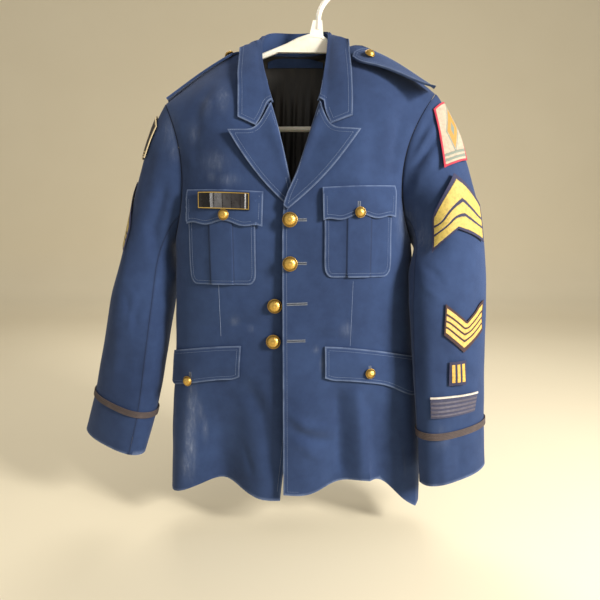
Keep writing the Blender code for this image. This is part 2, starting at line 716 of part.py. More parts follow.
def build_collar(panels, backs, clouds, finish):
    """The turned-down collar: a stand up from the neckline, a soft fold, and a fall to its edge."""
    track = Track(COLLAR_ROWS)
    knots = np.array([-1, -0.848, -0.685, -0.5226, -0.36, -0.27, -0.2025, -0.135, -0.0675, 0])
    knots = np.concatenate([knots, -knots[-2::-1]])
    seams = []
    for knot in knots:
        start, out, into = neck_frame(knot, panels, backs)
        way = unit(track((knot + 1) / 2)[3:6] - start)
        away = 1.9 + 1.2 * ease((abs(knot) - 0.4) / 0.2) + 1.2 * ease((abs(knot) - 0.7) / 0.2)
        seams.append(start + unit(into + way) * away - out * CLOTH)
    seams = np.array(seams)
    extra = np.array([-0.924, -0.766, -0.604, -0.441, 0.441, 0.604, 0.766, 0.924])
    shares = (np.sort(np.concatenate([knots, extra])) + 1) / 2
    columns = []
    for share in shares:
        values = track(float(share))
        seam, fold, edge = values[:3], values[3:6], values[6:9]
        seam = np.array([np.interp(share * 2 - 1, knots, seams[:, k]) for k in range(3)])
        side = "right" if share < 0.5 else "left"
        near_end = ease(1 - min(share, 1 - share) / 0.10)
        notch = np.array(COLLAR_NOTCH[side], float)
        middle = (fold + edge) / 2
        fall = edge - fold
        proud = unit(np.cross(np.cross(fall, fold - seam), fall))
        if near_end > 0.5:
            proud = np.array([0.0, -1.0, 0.15])
        mid = middle + near_end * (notch - middle) + 3.0 * (1 - near_end) * proud
        stand = fold - seam
        lean = unit(fall) * 3.4
        curve = [seam, seam + 0.55 * stand, fold - 0.12 * stand, fold + 0.35 * lean, fold + 1.6 * lean + 0.06 * fall]
        curve += [fold + 0.5 * (mid - fold), mid, mid + 0.5 * (edge - mid), edge]
        curve[3] = fold + 0.5 * lean + np.array([0, 0, 0.5])
        columns.append(curve)
    outer = np.array(columns).transpose(1, 0, 2)
    outer[3:] = clear_of(outer[3:].copy(), clouds, LAPEL_CLOTH + LAY_GAP + 0.6)
    normals = grid_normals(outer)
    if normals[-2, len(shares) // 4, 1] > 0:
        normals = -normals
    return wall("collar", outer, outer - normals * LAPEL_CLOTH, finish)


def build_lapel(name, side, panel, finish):
    """The lapel, folded back over the front from the roll line to its outer edge."""
    notch = np.array(LAPEL_NOTCH[side], float)
    peak, low = np.array(LAPEL_PEAK[side], float), np.array(LAPEL_BREAK[side], float)
    sign = panel.sign
    ups = np.linspace(0.585, 0.836, 13)
    vs = np.array([0.0, 0.05, 0.16, 0.32, 0.5, 0.68, 0.85, 1.0])
    outer = []

    def notch_dip(v):
        """How far the gorge's corner pulls the top row away from a straight line."""
        start = panel.point(float(ups[-1]), 0.0)[[0, 2]]
        straight = start + (peak - start) * v
        if v < 0.42:
            return start + (notch[[0, 2]] - start) * v / 0.42 - straight
        return notch[[0, 2]] + (peak - notch[[0, 2]]) * (v - 0.42) / 0.58 - straight

    for k, up in enumerate(ups):
        share = k / (len(ups) - 1)
        start = panel.point(float(up), 0.0)
        edge = low + (peak - low) * share
        across = unit(np.array([-(peak - low)[1], (peak - low)[0]])) * sign
        edge = edge - across * LAPEL_EDGE_BULGE * math.sin(math.pi * share)
        top = max(0.0, (share - 0.6) / 0.4)
        row = []
        for v in vs:
            x, z = start[0] + (edge[0] - start[0]) * v, start[2] + (edge[1] - start[2]) * v
            if top > 0:
                dip = notch_dip(v)
                x, z = x + top * dip[0], z + top * dip[1]
            lift = LAY_GAP + LAPEL_CLOTH + (5.5 * hump(v, 0.12, 0.13) + 2.0 * v) * ease(share * 1.6 - 0.24) + 2.5 * share * v
            inside = max(0.0, sign * (start[0] + sign * 1.2 - x))
            row.append(panel.at(x + sign * inside, z, lift) if v else
                       panel.point(float(up), 0.004, LAY_GAP + LAPEL_CLOTH))
        outer.append(row)
    outer = np.array(outer)
    normals = grid_normals(outer)
    if normals[6, 4, 1] > 0:
        normals = -normals
    return wall(name, outer, outer - normals * LAPEL_CLOTH, finish)


def build_chest_pocket(side, panel, finish):
    """The patch pocket with its box pleat, and its scalloped flap."""
    left, right, top, bottom, shift, button_x, button_z = CHEST_POCKETS[side]
    middle = (left + right) / 2
    width = (right - left) / 2

    def place(u, v, lift):
        corner = 1 - (1 - math.sqrt(max(0.0, 1 - max(0.0, (v - 1) * (bottom - top) / -POCKET_CORNER + 1) ** 2))) \
            * POCKET_CORNER / width
        x = middle + u * width * corner
        z = top + v * (bottom - top) + shift * (u + 1) / 2 * (1 - v)
        return panel.at(x, z, lift)

    def height(u, v):
        pleat = PLEAT_LIFT if abs(u) * width < PLEAT_WIDTH / 2 + 0.1 else 0.0
        return LAY_GAP + pleat * min(1, v * 6)

    half = PLEAT_WIDTH / 2 / width
    us = np.array([-1, -0.82, -half - 0.04, -half, 0, half, half + 0.04, 0.82, 1.0])
    vs = np.array([0, 0.18, 0.36, 0.54, 0.72, 0.88, 0.94, 0.975, 0.99])
    lay(f"chest_pocket_{side}", place, us, vs, height, CLOTH - 0.4, finish)

    left, right, top, drop = CHEST_FLAPS[side]
    centre, half_width = (button_x * 0.6 + (left + right) * 0.2), (right - left) / 2

    def flap(u, v, lift):
        x = (left + right) / 2 + u * half_width * (1 - 0.02 * v)
        bent = (left + right) / 2 - centre
        scallop = -8.0 * math.cos(math.pi * 2 * np.clip(u + bent / half_width, -1, 1)) * 0.5 - 3.0
        z = top + shift * (u + 1) / 2 + v * (drop - (scallop - 4.0) - 7.0 * abs(u) ** 6 - 3.0)
        return panel.at(x, z, lift)

    def flap_lift(u, v):
        return LAY_GAP + 0.2 + 3.9 * ease(v * 5)

    us = np.linspace(-1, 1, 15)
    lay(f"chest_flap_{side}", flap, us, np.array([0, 0.1, 0.22, 0.5, 0.8, 1.0]), flap_lift, CLOTH, finish)


def build_skirt_flap(side, panel, finish):
    """The flap of a pocket that is cut into the skirt."""
    near, far, near_top, far_top, near_drop, far_drop, _ = SKIRT_FLAPS[side]

    def place(u, v, lift):
        round_off = 6 * (max(0.0, abs(2 * u - 1) - 0.9) / 0.1) ** 2
        distance = near + u * (far - near)
        z = near_top + u**1.6 * (far_top - near_top)
        z -= v * (near_drop + u**2 * (far_drop - near_drop) - round_off)
        return panel.at_distance(distance, z, lift)

    lay(f"skirt_flap_{side}", place, np.linspace(0, 1, 13), np.array([0, 0.12, 0.4, 0.7, 1.0]),
        lambda u, v: LAY_GAP + 1.6 * ease(v * 4), CLOTH, finish)


def build_back_lining(backs, finish, lining):
    """The cloth inside the back: a strip along the neckline, and the lining below it."""

    def strip(u, v, lift):
        side = "left" if u >= 0 else "right"
        top = FACING_TOP - FACING_END_DROP * u**4
        x, z = NECK_MIDDLE[0] + u * FACING_REACH, top + (FACING_TOP - FACING_DEPTH - top) * v
        return backs[side].at(x, z, lift)

    inside = CLOTH + LAY_GAP + LINING_CLOTH
    lay("neck_facing", strip, np.linspace(-1, 1, 15), np.array([0, 0.5, 1.0]), flat_lift(-inside - 0.6),
        LINING_CLOTH, finish)

    def place(u, v, lift):
        back = backs["left" if u >= 0 else "right"]
        x, _, z = back.point(0.872 - v * 0.37, abs(u) * 0.72)
        top = FACING_TOP - FACING_DEPTH - LAY_GAP - 62 * max(0.0, (abs(u) - 0.42) / 0.58) ** 1.2
        return back.at(x, z + (top - z) * (1 - v) ** 3, lift)

    lay("back_lining", place, np.linspace(-1, 1, 15), np.linspace(0, 1, 8), flat_lift(-inside - 0.7),
        LINING_CLOTH, lining)


def build_strap(side, panel, back, finish, brass):
    """The shoulder strap, from the sleeve seam to its point beside the collar, and its button."""
    first, last, front_wide, back_wide, front_narrow, back_narrow, button_share = STRAPS[side]

    def place(u, v, lift):
        share = first + (last - first) * v
        ridge = panel.point(1.0, share)
        ahead = unit(panel.point(0.97, share) - ridge)
        behind = unit(back.point(0.97, share) - ridge)
        narrow = ease(v * 1.1)
        reach_front = front_wide + (front_narrow - front_wide) * narrow
        reach_back = back_wide + (back_narrow - back_wide) * narrow
        q = -reach_back + (u + 1) / 2 * (reach_front + reach_back)
        middle = (reach_front - reach_back) / 2
        pointed = max(0.0, (v - 0.88) / 0.12)
        q = middle + (q - middle) * (1 - 0.72 * pointed**1.5)
        soft = math.sqrt(q * q + 64) - 8
        crown = unit(-(ahead + behind)) if np.linalg.norm(ahead + behind) > 0.2 else UP
        way = ahead if q > 0 else behind
        out = unit(crown + (panel.normal(0.97, share) if q > 0 else back.normal(0.97, share)) * min(1, abs(q) / 12) * 3)
        return ridge + way * soft + (way - (way @ crown) * crown) * (abs(q) - soft) + out * lift

    us, vs = np.linspace(-1, 1, 7), np.concatenate([np.linspace(0, 0.86, 7), [0.92, 0.97, 1.0]])
    lay(f"shoulder_strap_{side}", place, us, vs, flat_lift(LAY_GAP + 1.0), STRAP_CLOTH, finish)
    v = 1 - button_share * 0.62
    spot, lifted = place(0, v, 0.0), place(0, v, LAY_GAP + 1.8 + STRAP_CLOTH + 0.16 * SMALL_BUTTON)
    build_button(f"strap_button_{side}", lifted, lifted - spot, SMALL_BUTTON, brass)


def sleeve_place(sleeve, down, degrees):
    """The share down of a badge's middle, a way from millimetres round the arm to degrees, and what a share is worth."""
    share = down / SLEEVE_LENGTH
    turns = degrees + np.arange(-110, 111, 5.0)
    ring = np.array([sleeve.base(share, t) for t in turns])
    far = np.concatenate([[0], np.cumsum(np.linalg.norm(np.diff(ring, axis=0), axis=1))])
    far -= far[len(turns) // 2]
    by_down = np.linalg.norm(sleeve.base(share + 0.02, degrees) - ring[len(turns) // 2]) / 0.02
    return share, lambda along: float(np.interp(along, far, turns)), by_down


def build_badge(name, sleeve, finish):
    """A badge sewn on a sleeve, straight-sided or with its middle higher or lower than its sides."""
    _, down, degrees, width, height, top_rise, bottom_rise, top_drop, bottom_drop, lean, _ = BADGES[name]
    share, turn, by_down = sleeve_place(sleeve, down, degrees)

    def place(u, v, lift):
        low = (v - 0.5) * height + (top_rise + (bottom_rise - top_rise) * v) * abs(u)
        low += (top_drop + (bottom_drop - top_drop) * v) * u / 2
        return sleeve.point(share + low / by_down, turn(u * width / 2 + (0.5 - v) * lean), lift)

    count = 11 if width > 40 else 5
    lift = flat_lift(LAY_GAP + (FOLD_CLEARANCE if top_drop else 0.0))
    lay(name, place, np.linspace(-1, 1, count), np.linspace(0, 1, 5), lift, BADGE_CLOTH, finish)


def build_braid(name, sleeve, down, finish):
    """A band right round a sleeve above its cuff."""
    share = down / SLEEVE_LENGTH
    angles = np.linspace(0, 360, 33)[:-1]
    shares = np.array([share, share + BRAID_WIDTH / SLEEVE_LENGTH])
    outer = np.array([[sleeve.point(d, a, LAY_GAP + BADGE_CLOTH) for a in angles] for d in shares])
    inner = np.array([[sleeve.point(d, a, LAY_GAP) for a in angles] for d in shares])
    return wall(name, outer, inner, finish, closed=True)


def build_piping(sleeve, finish):
    """The white cord along the top of the striped band on the left sleeve."""
    _, down, degrees, width, height = BADGES["cuff_band_left"][:5]
    share, turn, by_down = sleeve_place(sleeve, down, degrees)
    start = share - (height / 2 + PIPING_SIZE + 0.4) / by_down

    def place(u, v, lift):
        return sleeve.point(start + v * PIPING_SIZE / by_down, turn(u * width / 2), lift)

    return lay("band_piping_left", place, np.linspace(-1, 1, 11), np.array([0, 1.0]), flat_lift(LAY_GAP),
               BADGE_CLOTH + 0.8, finish)


def build_name_plate(panel, finish):
    """A thin plate pinned to the right chest flap, bowed to the chest."""
    corners = np.array(NAME_PLATE, float)

    def place(u, v, lift):
        top = corners[0] + (corners[1] - corners[0]) * u
        low = corners[3] + (corners[2] - corners[3]) * u
        x, z = top + (low - top) * v
        return panel.at(x, z, lift)

    return lay("name_plate", place, np.linspace(0, 1, 7), np.array([0, 1.0]), flat_lift(LAY_GAP + 3.9 + CLOTH + 1.1),
               PLATE_THICK, finish)


def through(points, steps):
    """A smooth route through points on the hanger's upright plane."""
    points = np.array([(x, z) for x, z in points], float)
    far = np.concatenate([[0], np.cumsum(np.linalg.norm(np.diff(points, axis=0), axis=1))])
    track = Track(np.column_stack([far, points]))
    return [track(float(d)) for d in np.linspace(0, far[-1], steps)]


def join(base, other):
    """Adds another solid to a solid, and removes the other."""
    union = base.modifiers.new("join", "BOOLEAN")
    union.operation, union.solver, union.object = "UNION", "EXACT", other
    graph = bpy.context.evaluated_depsgraph_get()
    joined = bpy.data.meshes.new_from_object(base.evaluated_get(graph))
    base.modifiers.clear()
    base.data = joined
    bpy.data.objects.remove(other, do_unlink=True)
    return base


def build_hanger(finish):
    """The moulded hanger: a loop of arms and crossbar, a hook, and a flat web between them."""

    def depth(x):
        return -4 - 4 * ease((x - 60) / 40) - 9 * ease((x - 100) / 90)

    loop = list(reversed(HANGER_ARMS_RIGHT)) + list(HANGER_ARMS_LEFT) + list(HANGER_BAR)
    loop = np.array([(x, depth(x), z) for x, z in through(loop + loop[:1], 49)[:-1]])
    heading = unit(np.roll(loop, -1, axis=0) - np.roll(loop, 1, axis=0))
    sides = 8
    vertices, faces = [], []
    for point, along in zip(loop, heading):
        flat = unit(np.cross(along, np.array([0.0, 1.0, 0.0])))
        deep = np.cross(flat, along)
        for k in range(sides):
            angle = 2 * math.pi * (k + 0.5) / sides
            vertices.append(point + (flat * math.cos(angle) + deep * math.sin(angle)) * HANGER_TUBE / 2)
    for i in range(len(loop)):
        for k in range(sides):
            a, b = i * sides + k, i * sides + (k + 1) % sides
            c = (i + 1) % len(loop) * sides
            faces.append((a, b, c + (k + 1) % sides, c + k))
    hanger = add_object("hanger", vertices, faces, finish)
    hook = through(HOOK_ROUTE + HOOK_END, 22)
    hook_points, hook_faces = tube([(x, -5 + 5 * ease((z + 80) / 60), z) for x, z in hook], HANGER_TUBE / 2, 8)
    join(hanger, add_object("hook", hook_points, hook_faces, finish))
    web = [(x, y - 5, z) for y in (-WEB_THICK / 2, WEB_THICK / 2) for x, z in HANGER_WEB]
    count = len(HANGER_WEB)
    web_faces = [tuple(range(count)), tuple(reversed(range(count, 2 * count)))]
    web_faces += [(k, (k + 1) % count, count + (k + 1) % count, count + k) for k in range(count)]
    return join(hanger, add_object("web", web, web_faces, finish, smooth=False))


def build_button(name, place, out, size, finish):
    """A domed shank button with a rolled rim, turned about the way it faces."""
    radius = size / 2
    profile = ((0.0, 0.36), (0.45, 0.33), (0.82, 0.19), (1.0, 0.09), (0.95, 0.0), (0.30, -0.02), (0.26, -0.16))
    out = unit(out)
    side = unit(np.cross(out, UP))
    top = np.cross(side, out)
    turns = 12
    vertices, faces = [place + out * profile[0][1] * size], []
    for across, high in profile[1:]:
        for k in range(turns):
            angle = 2 * math.pi * k / turns
            vertices.append(place + (side * math.cos(angle) + top * math.sin(angle)) * across * radius
                            + out * high * size)
    vertices.append(place + out * profile[-1][1] * size)
    for k in range(turns):
        faces.append((0, 1 + k, 1 + (k + 1) % turns))
        last = 1 + (len(profile) - 2) * turns
        faces.append((len(vertices) - 1, last + (k + 1) % turns, last + k))
        for ring in range(len(profile) - 2):
            a, b = 1 + ring * turns + k, 1 + ring * turns + (k + 1) % turns
            faces.append((a, a + turns, b + turns, b))
    return add_object(name, vertices, faces, finish)


def tube(route, radius, sides=10):
    """A closed tube along a route, with flat ends."""
    route = np.array(route, float)
    heading = unit(np.gradient(route, axis=0))
    vertices, faces = [], []
    for point, along in zip(route, heading):
        flat = unit(np.cross(along, np.array([0.0, 1.0, 0.0])))
        deep = np.cross(flat, along)
        for k in range(sides):
            angle = 2 * math.pi * k / sides
            vertices.append(point + (flat * math.cos(angle) + deep * math.sin(angle)) * radius)
    for i in range(len(route) - 1):
        for k in range(sides):
            a, b = i * sides + k, i * sides + (k + 1) % sides
            faces.append((a, b, b + sides, a + sides))
    faces.append(tuple(range(sides)))
    last = (len(route) - 1) * sides
    faces.append(tuple(last + k for k in reversed(range(sides))))
    return vertices, faces


def main():
    """Builds every piece of the jacket and its hanger."""
    clear_scene()
    blue = material("jacket_blue")
    brass = material("button_brass", 0.3, 1.0)
    panels = {
        "left": Panel("left", LEFT_FRONT_ROWS, LEFT_SIDE_ROWS, True, LEFT_FRONT_FOLDS, LEFT_HEM_LIFT),
        "right": Panel("right", RIGHT_FRONT_ROWS, RIGHT_SIDE_ROWS, True, RIGHT_FRONT_FOLDS, RIGHT_HEM_LIFT),
    }
    backs = {
        "left": Panel("left", LEFT_BACK_ROWS, LEFT_SIDE_ROWS, False, BACK_FOLDS, BACK_HEM_LIFT),
        "right": Panel("right", RIGHT_BACK_ROWS, RIGHT_SIDE_ROWS, False, BACK_FOLDS, BACK_HEM_LIFT),
    }
    sleeves = {
        "left": Sleeve("left", panels["left"].armhole, LEFT_SLEEVE_ROWS, LEFT_SLEEVE_FOLDS),
        "right": Sleeve("right", panels["right"].armhole, RIGHT_SLEEVE_ROWS, RIGHT_SLEEVE_FOLDS),
    }
    for side in ("left", "right"):
        build_panel(f"front_{side}", panels[side], backs[side], blue)
        build_panel(f"back_{side}", backs[side], panels[side], blue, rows=16)
        build_sleeve(f"upper_sleeve_{side}", sleeves[side], blue, -40, 150)
        build_sleeve(f"under_sleeve_{side}", sleeves[side], blue, 150, 320, columns=10)
        build_lapel(f"lapel_{side}", side, panels[side], blue)
        build_chest_pocket(side, panels[side], blue)
        build_skirt_flap(side, panels[side], blue)
        build_strap(side, panels[side], backs[side], blue, brass)
        build_braid(f"cuff_braid_{side}", sleeves[side], CUFF_BRAID[side], material("braid_brown"))
        shank = 0.5 + 0.16 * SMALL_BUTTON
        x, z = CHEST_BUTTONS[side]
        up, share = panels[side].find(x, z)
        out = panels[side].normal(up, share)
        flap_top = LAY_GAP + 0.2 + 3.9 + CLOTH
        build_button(f"chest_button_{side}", panels[side].point(up, share, flap_top + shank), out, SMALL_BUTTON, brass)
        far, z = SKIRT_BUTTONS[side]
        flap_top = LAY_GAP + 1.6 + CLOTH
        spot = panels[side].at_distance(far, z)
        lifted = panels[side].at_distance(far, z, flap_top + shank)
        build_button(f"skirt_button_{side}", lifted, lifted - spot, SMALL_BUTTON, brass)
    clouds = [cloud(p) for p in (*panels.values(), *backs.values())]
    build_collar(panels, backs, clouds, blue)
    build_back_lining(backs, blue, material("lining_black", 0.5))
    for name, row in BADGES.items():
        build_badge(name, sleeves[row[0]], material(row[-1]))
    build_piping(sleeves["left"], material("piping_white"))
    build_name_plate(panels["right"], material("plate_black", 0.3))
    build_hanger(material("hanger_white", 0.35))
    for name, (x, z, on_left) in FRONT_BUTTONS.items():
        panel = panels["left" if on_left else "right"]
        up, share = panel.find(x, z)
        shank = 0.5 + 0.16 * FRONT_BUTTON
        build_button(name, panel.point(up, share, shank), panel.normal(up, share), FRONT_BUTTON, brass)


main()
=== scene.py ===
"""Looks of a dress uniform jacket on its plastic hanger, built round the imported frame."""
import json
import logging
import math
from contextlib import contextmanager
from dataclasses import dataclass, field
from enum import Enum
from typing import Callable, Iterable, Iterator, Sequence

import bmesh
import bpy
import numpy as np
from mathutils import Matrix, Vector
from mathutils.bvhtree import BVHTree
from mathutils.kdtree import KDTree

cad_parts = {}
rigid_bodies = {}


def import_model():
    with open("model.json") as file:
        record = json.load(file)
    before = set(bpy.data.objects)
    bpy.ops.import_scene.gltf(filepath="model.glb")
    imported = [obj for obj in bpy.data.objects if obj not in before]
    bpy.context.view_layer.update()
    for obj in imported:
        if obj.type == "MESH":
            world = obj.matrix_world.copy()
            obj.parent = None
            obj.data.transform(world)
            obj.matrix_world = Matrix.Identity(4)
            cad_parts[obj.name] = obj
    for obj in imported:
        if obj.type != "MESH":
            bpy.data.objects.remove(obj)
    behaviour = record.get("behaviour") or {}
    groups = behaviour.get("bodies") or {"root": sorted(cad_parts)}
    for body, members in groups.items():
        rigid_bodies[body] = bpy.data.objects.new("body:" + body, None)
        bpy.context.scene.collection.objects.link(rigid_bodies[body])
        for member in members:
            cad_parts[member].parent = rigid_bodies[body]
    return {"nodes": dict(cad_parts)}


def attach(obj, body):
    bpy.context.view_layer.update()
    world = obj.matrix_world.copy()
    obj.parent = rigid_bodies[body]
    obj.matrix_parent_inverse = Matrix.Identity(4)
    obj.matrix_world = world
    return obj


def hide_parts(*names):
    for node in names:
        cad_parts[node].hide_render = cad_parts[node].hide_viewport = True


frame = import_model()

log = logging.getLogger("jacket")
MM = 0.001
MM_PER_M = 1000
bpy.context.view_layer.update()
BODY_MIDDLE = (-37.0, -10.0)
SEWN_TOGETHER = [
    f"{part}_{side}"
    for part in ("front", "back", "upper_sleeve", "under_sleeve")
    for side in ("left", "right")
]
# Millimetres: how near another panel a sewn edge is, the least wall between a piece's two faces, how far from
# a seam the cloth is held still and where it is free, and the widths of the pale edge and the painted shade
# along seams.
SEAM_REACH = 4.5
LEAST_WALL = 1.0
HELD_TO, FREE_FROM = 4, 30
EDGE_WIDTH, SEAM_SHADE_WIDTH = 3.2, 2.6
NOWHERE = 99.0
# How deep a laid-on piece may dip into what carries it, and how far off its carrier is looked for.
DIP_DEPTH, DIP_REACH = 12.0, 14.0
SHARP = math.radians(42)
CORNER_TURN = math.radians(18)
CORNER_REACH = 4
MOST_CORNERS = 8


class Side(Enum):
    """The wearer's sides."""

    LEFT = "left"
    RIGHT = "right"


# Shader maths


class Wire:
    """A number in a shader, which adds Math nodes as it is used in an expression."""

    def __init__(self, dye: "Dye", socket: bpy.types.NodeSocket) -> None:
        """Keeps the socket and the material it is in."""
        self.dye, self.socket = dye, socket

    def _math(self, operation: str, *values: object) -> "Wire":
        """A Math node over these values."""
        node = self.dye.node("ShaderNodeMath", {"operation": operation}, dict(enumerate(values)))
        return Wire(self.dye, node.outputs[0])

    def __add__(self, other: object) -> "Wire":
        """self + other."""
        return self._math("ADD", self, other)

    def __radd__(self, other: object) -> "Wire":
        """other + self."""
        return self._math("ADD", other, self)

    def __sub__(self, other: object) -> "Wire":
        """self - other."""
        return self._math("SUBTRACT", self, other)

    def __rsub__(self, other: object) -> "Wire":
        """other - self."""
        return self._math("SUBTRACT", other, self)

    def __mul__(self, other: object) -> "Wire":
        """self * other."""
        return self._math("MULTIPLY", self, other)

    def __rmul__(self, other: object) -> "Wire":
        """other * self."""
        return self._math("MULTIPLY", other, self)

    def sine(self) -> "Wire":
        """The sine of this value, moved and scaled to between 0 and 1."""
        return self._math("SINE", self) * 0.5 + 0.5

    def wave(self, period: float) -> "Wire":
        """A sine wave between 0 and 1 that repeats after this much."""
        return (self * (2 * math.pi / period)).sine()

    def size(self) -> "Wire":
        """This value without its sign."""
        return self._math("ABSOLUTE", self)

    def least(self, other: object) -> "Wire":
        """The smaller of the two."""
        return self._math("MINIMUM", self, other)

    def most(self, other: object) -> "Wire":
        """The larger of the two."""
        return self._math("MAXIMUM", self, other)

    def ramp(self, low: float, high: float) -> "Wire":
        """A smooth step from 0 at low to 1 at high, or down again where high is the lower.

        Args:
            low: the value that gives 0.
            high: the value that gives 1.

        Returns:
            The stepped value, between 0 and 1.
        """
        node = self.dye.node(
            "ShaderNodeMapRange",
            {"interpolation_type": "SMOOTHSTEP", "clamp": True},
            {"Value": self, "From Min": min(low, high), "From Max": max(low, high)},
        )
        step = Wire(self.dye, node.outputs[0])
        return step if low < high else 1 - step

    def band(self, low: float, high: float, soft: float) -> "Wire":
        """1 between low and high and 0 outside, with soft edges."""
        return self.ramp(low - soft, low + soft) * self.ramp(high + soft, high - soft)


class Dye:
    """One material and its nodes."""

    def __init__(self, name: str, roughness: float = 0.8, metallic: float = 0.0) -> None:
        """Starts a material with a Principled shader.

        Args:
            name: the material's name.
            roughness: the shader's roughness where no node drives it.
            metallic: 1 for metal.
        """
        self.material = bpy.data.materials.new(name)
        self.material.use_nodes = True
        self.tree = self.material.node_tree
        self.shader = next(n for n in self.tree.nodes if n.type == "BSDF_PRINCIPLED")
        self.shader.inputs["Roughness"].default_value = roughness
        self.shader.inputs["Metallic"].default_value = metallic
        self.place = self.node("ShaderNodeTexCoord").outputs["Object"]

    def node(self, kind: str, settings: dict | None = None, inputs: dict | None = None) -> bpy.types.Node:
        """Adds one node.

        Args:
            kind: the node's type.
            settings: its own properties, set first.
            inputs: its sockets' values or links, by name or number.

        Returns:
            The node.
        """
        made = self.tree.nodes.new(kind)
        for name, value in (settings or {}).items():
            setattr(made, name, value)
        for key, value in (inputs or {}).items():
            self.feed(made.inputs[key], value)
        return made

    def feed(self, socket: bpy.types.NodeSocket, value: object) -> None:
        """Links a wire or socket to this socket, or sets its value."""
        if isinstance(value, Wire):
            value = value.socket
        if isinstance(value, bpy.types.NodeSocket):
            self.tree.links.new(value, socket)
        else:
            socket.default_value = value

    def constant(self, name: str, value: float | tuple) -> None:
        """Sets one of the shader's own sockets."""
        self.shader.inputs[name].default_value = value

    def drive(self, name: str, value: object) -> None:
        """Links one of the shader's own sockets."""
        self.feed(self.shader.inputs[name], value)

    def axes(self) -> tuple[Wire, Wire, Wire]:
        """The place in metres as three numbers."""
        split = self.node("ShaderNodeSeparateXYZ", inputs={0: self.place})
        return tuple(Wire(self, o) for o in split.outputs)

    def stretched(self, scale: tuple, turn: tuple = (0.0, 0.0, 0.0)) -> bpy.types.NodeSocket:
        """The place scaled and turned, for a pattern with a grain."""
        made = self.node("ShaderNodeMapping", inputs={"Vector": self.place, "Rotation": turn, "Scale": scale})
        return made.outputs[0]

    def noise(self, scale: float, detail: float = 2.0, rough: float = 0.5, at: object = None) -> Wire:
        """Cloudy noise between 0 and 1.

        Args:
            scale: waves a metre.
            detail: how many finer layers it has.
            rough: how strong the finer layers are.
            at: the place it reads, the object's own where left out.

        Returns:
            The noise.
        """
        made = self.node(
            "ShaderNodeTexNoise",
            inputs={"Vector": at or self.place, "Scale": scale, "Detail": detail, "Roughness": rough},
        )
        return Wire(self, made.outputs["Fac"])

    def attribute(self, name: str) -> Wire:
        """A number that is stored on the mesh's points."""
        made = self.node("ShaderNodeAttribute", {"attribute_name": name})
        return Wire(self, made.outputs["Fac"])

    def mix(self, share: object, first: object, second: object) -> bpy.types.NodeSocket:
        """A colour from first at 0 to second at 1."""
        made = self.node("ShaderNodeMix", {"data_type": "RGBA"}, {0: share, 6: first, 7: second})
        return made.outputs[2]

    def bump(self, height: object, depth: float, strength: float = 1.0, under: object = None) -> object:
        """A bump of this depth in metres, over an earlier one.

        Args:
            height: the relief, 0 to 1.
            depth: what 1 stands for, in metres.
            strength: the share of it that shows.
            under: the normal of a coarser bump.

        Returns:
            The normal.
        """
        values = {"Height": height, "Distance": depth, "Strength": strength}
        if under is not None:
            values["Normal"] = under
        return self.node("ShaderNodeBump", inputs=values).outputs[0]


Colour = tuple[float, float, float, float]


def colour(red: int, green: int, blue: int) -> Colour:
    """A colour of a picture, 0 to 255, as linear light."""
    shares = (c / 255 for c in (red, green, blue))
    return tuple(c / 12.92 if c < 11 / 255 else ((c + 0.055) / 1.055) ** 2.4 for c in shares) + (1.0,)


def shaded(base: Colour, share: float) -> Colour:
    """A colour made darker or lighter by this factor."""
    return tuple(c * share for c in base[:3]) + (1.0,)


# Finishes


@dataclass(frozen=True)
class Serge:
    """Blue wool-blend serge: a fine diagonal rib, fuzz, pale worn edges and chalky marks."""

    name: str = "jacket_blue"
    deep: Colour = colour(34, 50, 84)
    light: Colour = colour(50, 70, 110)
    worn: Colour = colour(128, 145, 178)
    chalk: Colour = colour(150, 160, 178)
    # colour of the painted shade along seams and beside the pocket pleats
    seam_shade: Colour = colour(28, 36, 58)
    rib: float = 0.0016
    rubbing: float = 0.62
    shadow: float = 0.45
    dustiest: float = 0.5

    def material(self) -> bpy.types.Material:
        """Builds the cloth's nodes."""
        dye = Dye(self.name, 0.86)
        x, y, z = dye.axes()
        broad = dye.noise(7, 3, 0.55)
        mottle = dye.noise(48, 5, 0.65)
        fuzz = dye.noise(850, 2, 0.6)
        cloud = broad.ramp(0.3, 0.7) * 0.5 + mottle.ramp(0.25, 0.75) * 0.35 + fuzz * 0.15
        base = dye.mix(cloud, self.deep, self.light)
        rubbed = dye.attribute("edge") * (0.35 + mottle.ramp(0.3, 0.65) * 0.65)
        base = dye.mix(rubbed * self.rubbing, base, self.worn)
        streak = dye.noise(1, 4, 0.7, dye.stretched((150, 150, 38)))
        speck = dye.noise(170, 3, 0.7)
        marks = dye.attribute("marks") * (0.16 + streak.ramp(0.4, 0.75) * 0.4 + speck.ramp(0.5, 0.8) * 0.2)
        base = dye.mix(marks.least(self.dustiest), base, self.chalk)
        # painted shade: darkens the cloth colour along seams and beside the pocket pleats
        base = dye.mix(dye.attribute("seam") * self.shadow, base, self.seam_shade)
        dye.drive("Base Color", base)
        dye.drive("Roughness", 0.8 + fuzz * 0.15 - rubbed * 0.08)
        wave = (x + y * 0.8 + z).wave(self.rib)
        rumple = dye.bump(dye.noise(1, 3, 0.5, dye.stretched((26, 26, 17))), 0.006, 0.22)
        dye.drive("Normal", dye.bump(wave * 0.4 + fuzz * 0.6, 0.0005, 0.5, rumple))
        dye.constant("Sheen Weight", 0.16)
        dye.constant("Sheen Roughness", 0.45)
        dye.constant("Sheen Tint", (0.62, 0.72, 1.0, 1.0))
        dye.constant("Specular IOR Level", 0.25)
        return dye.material


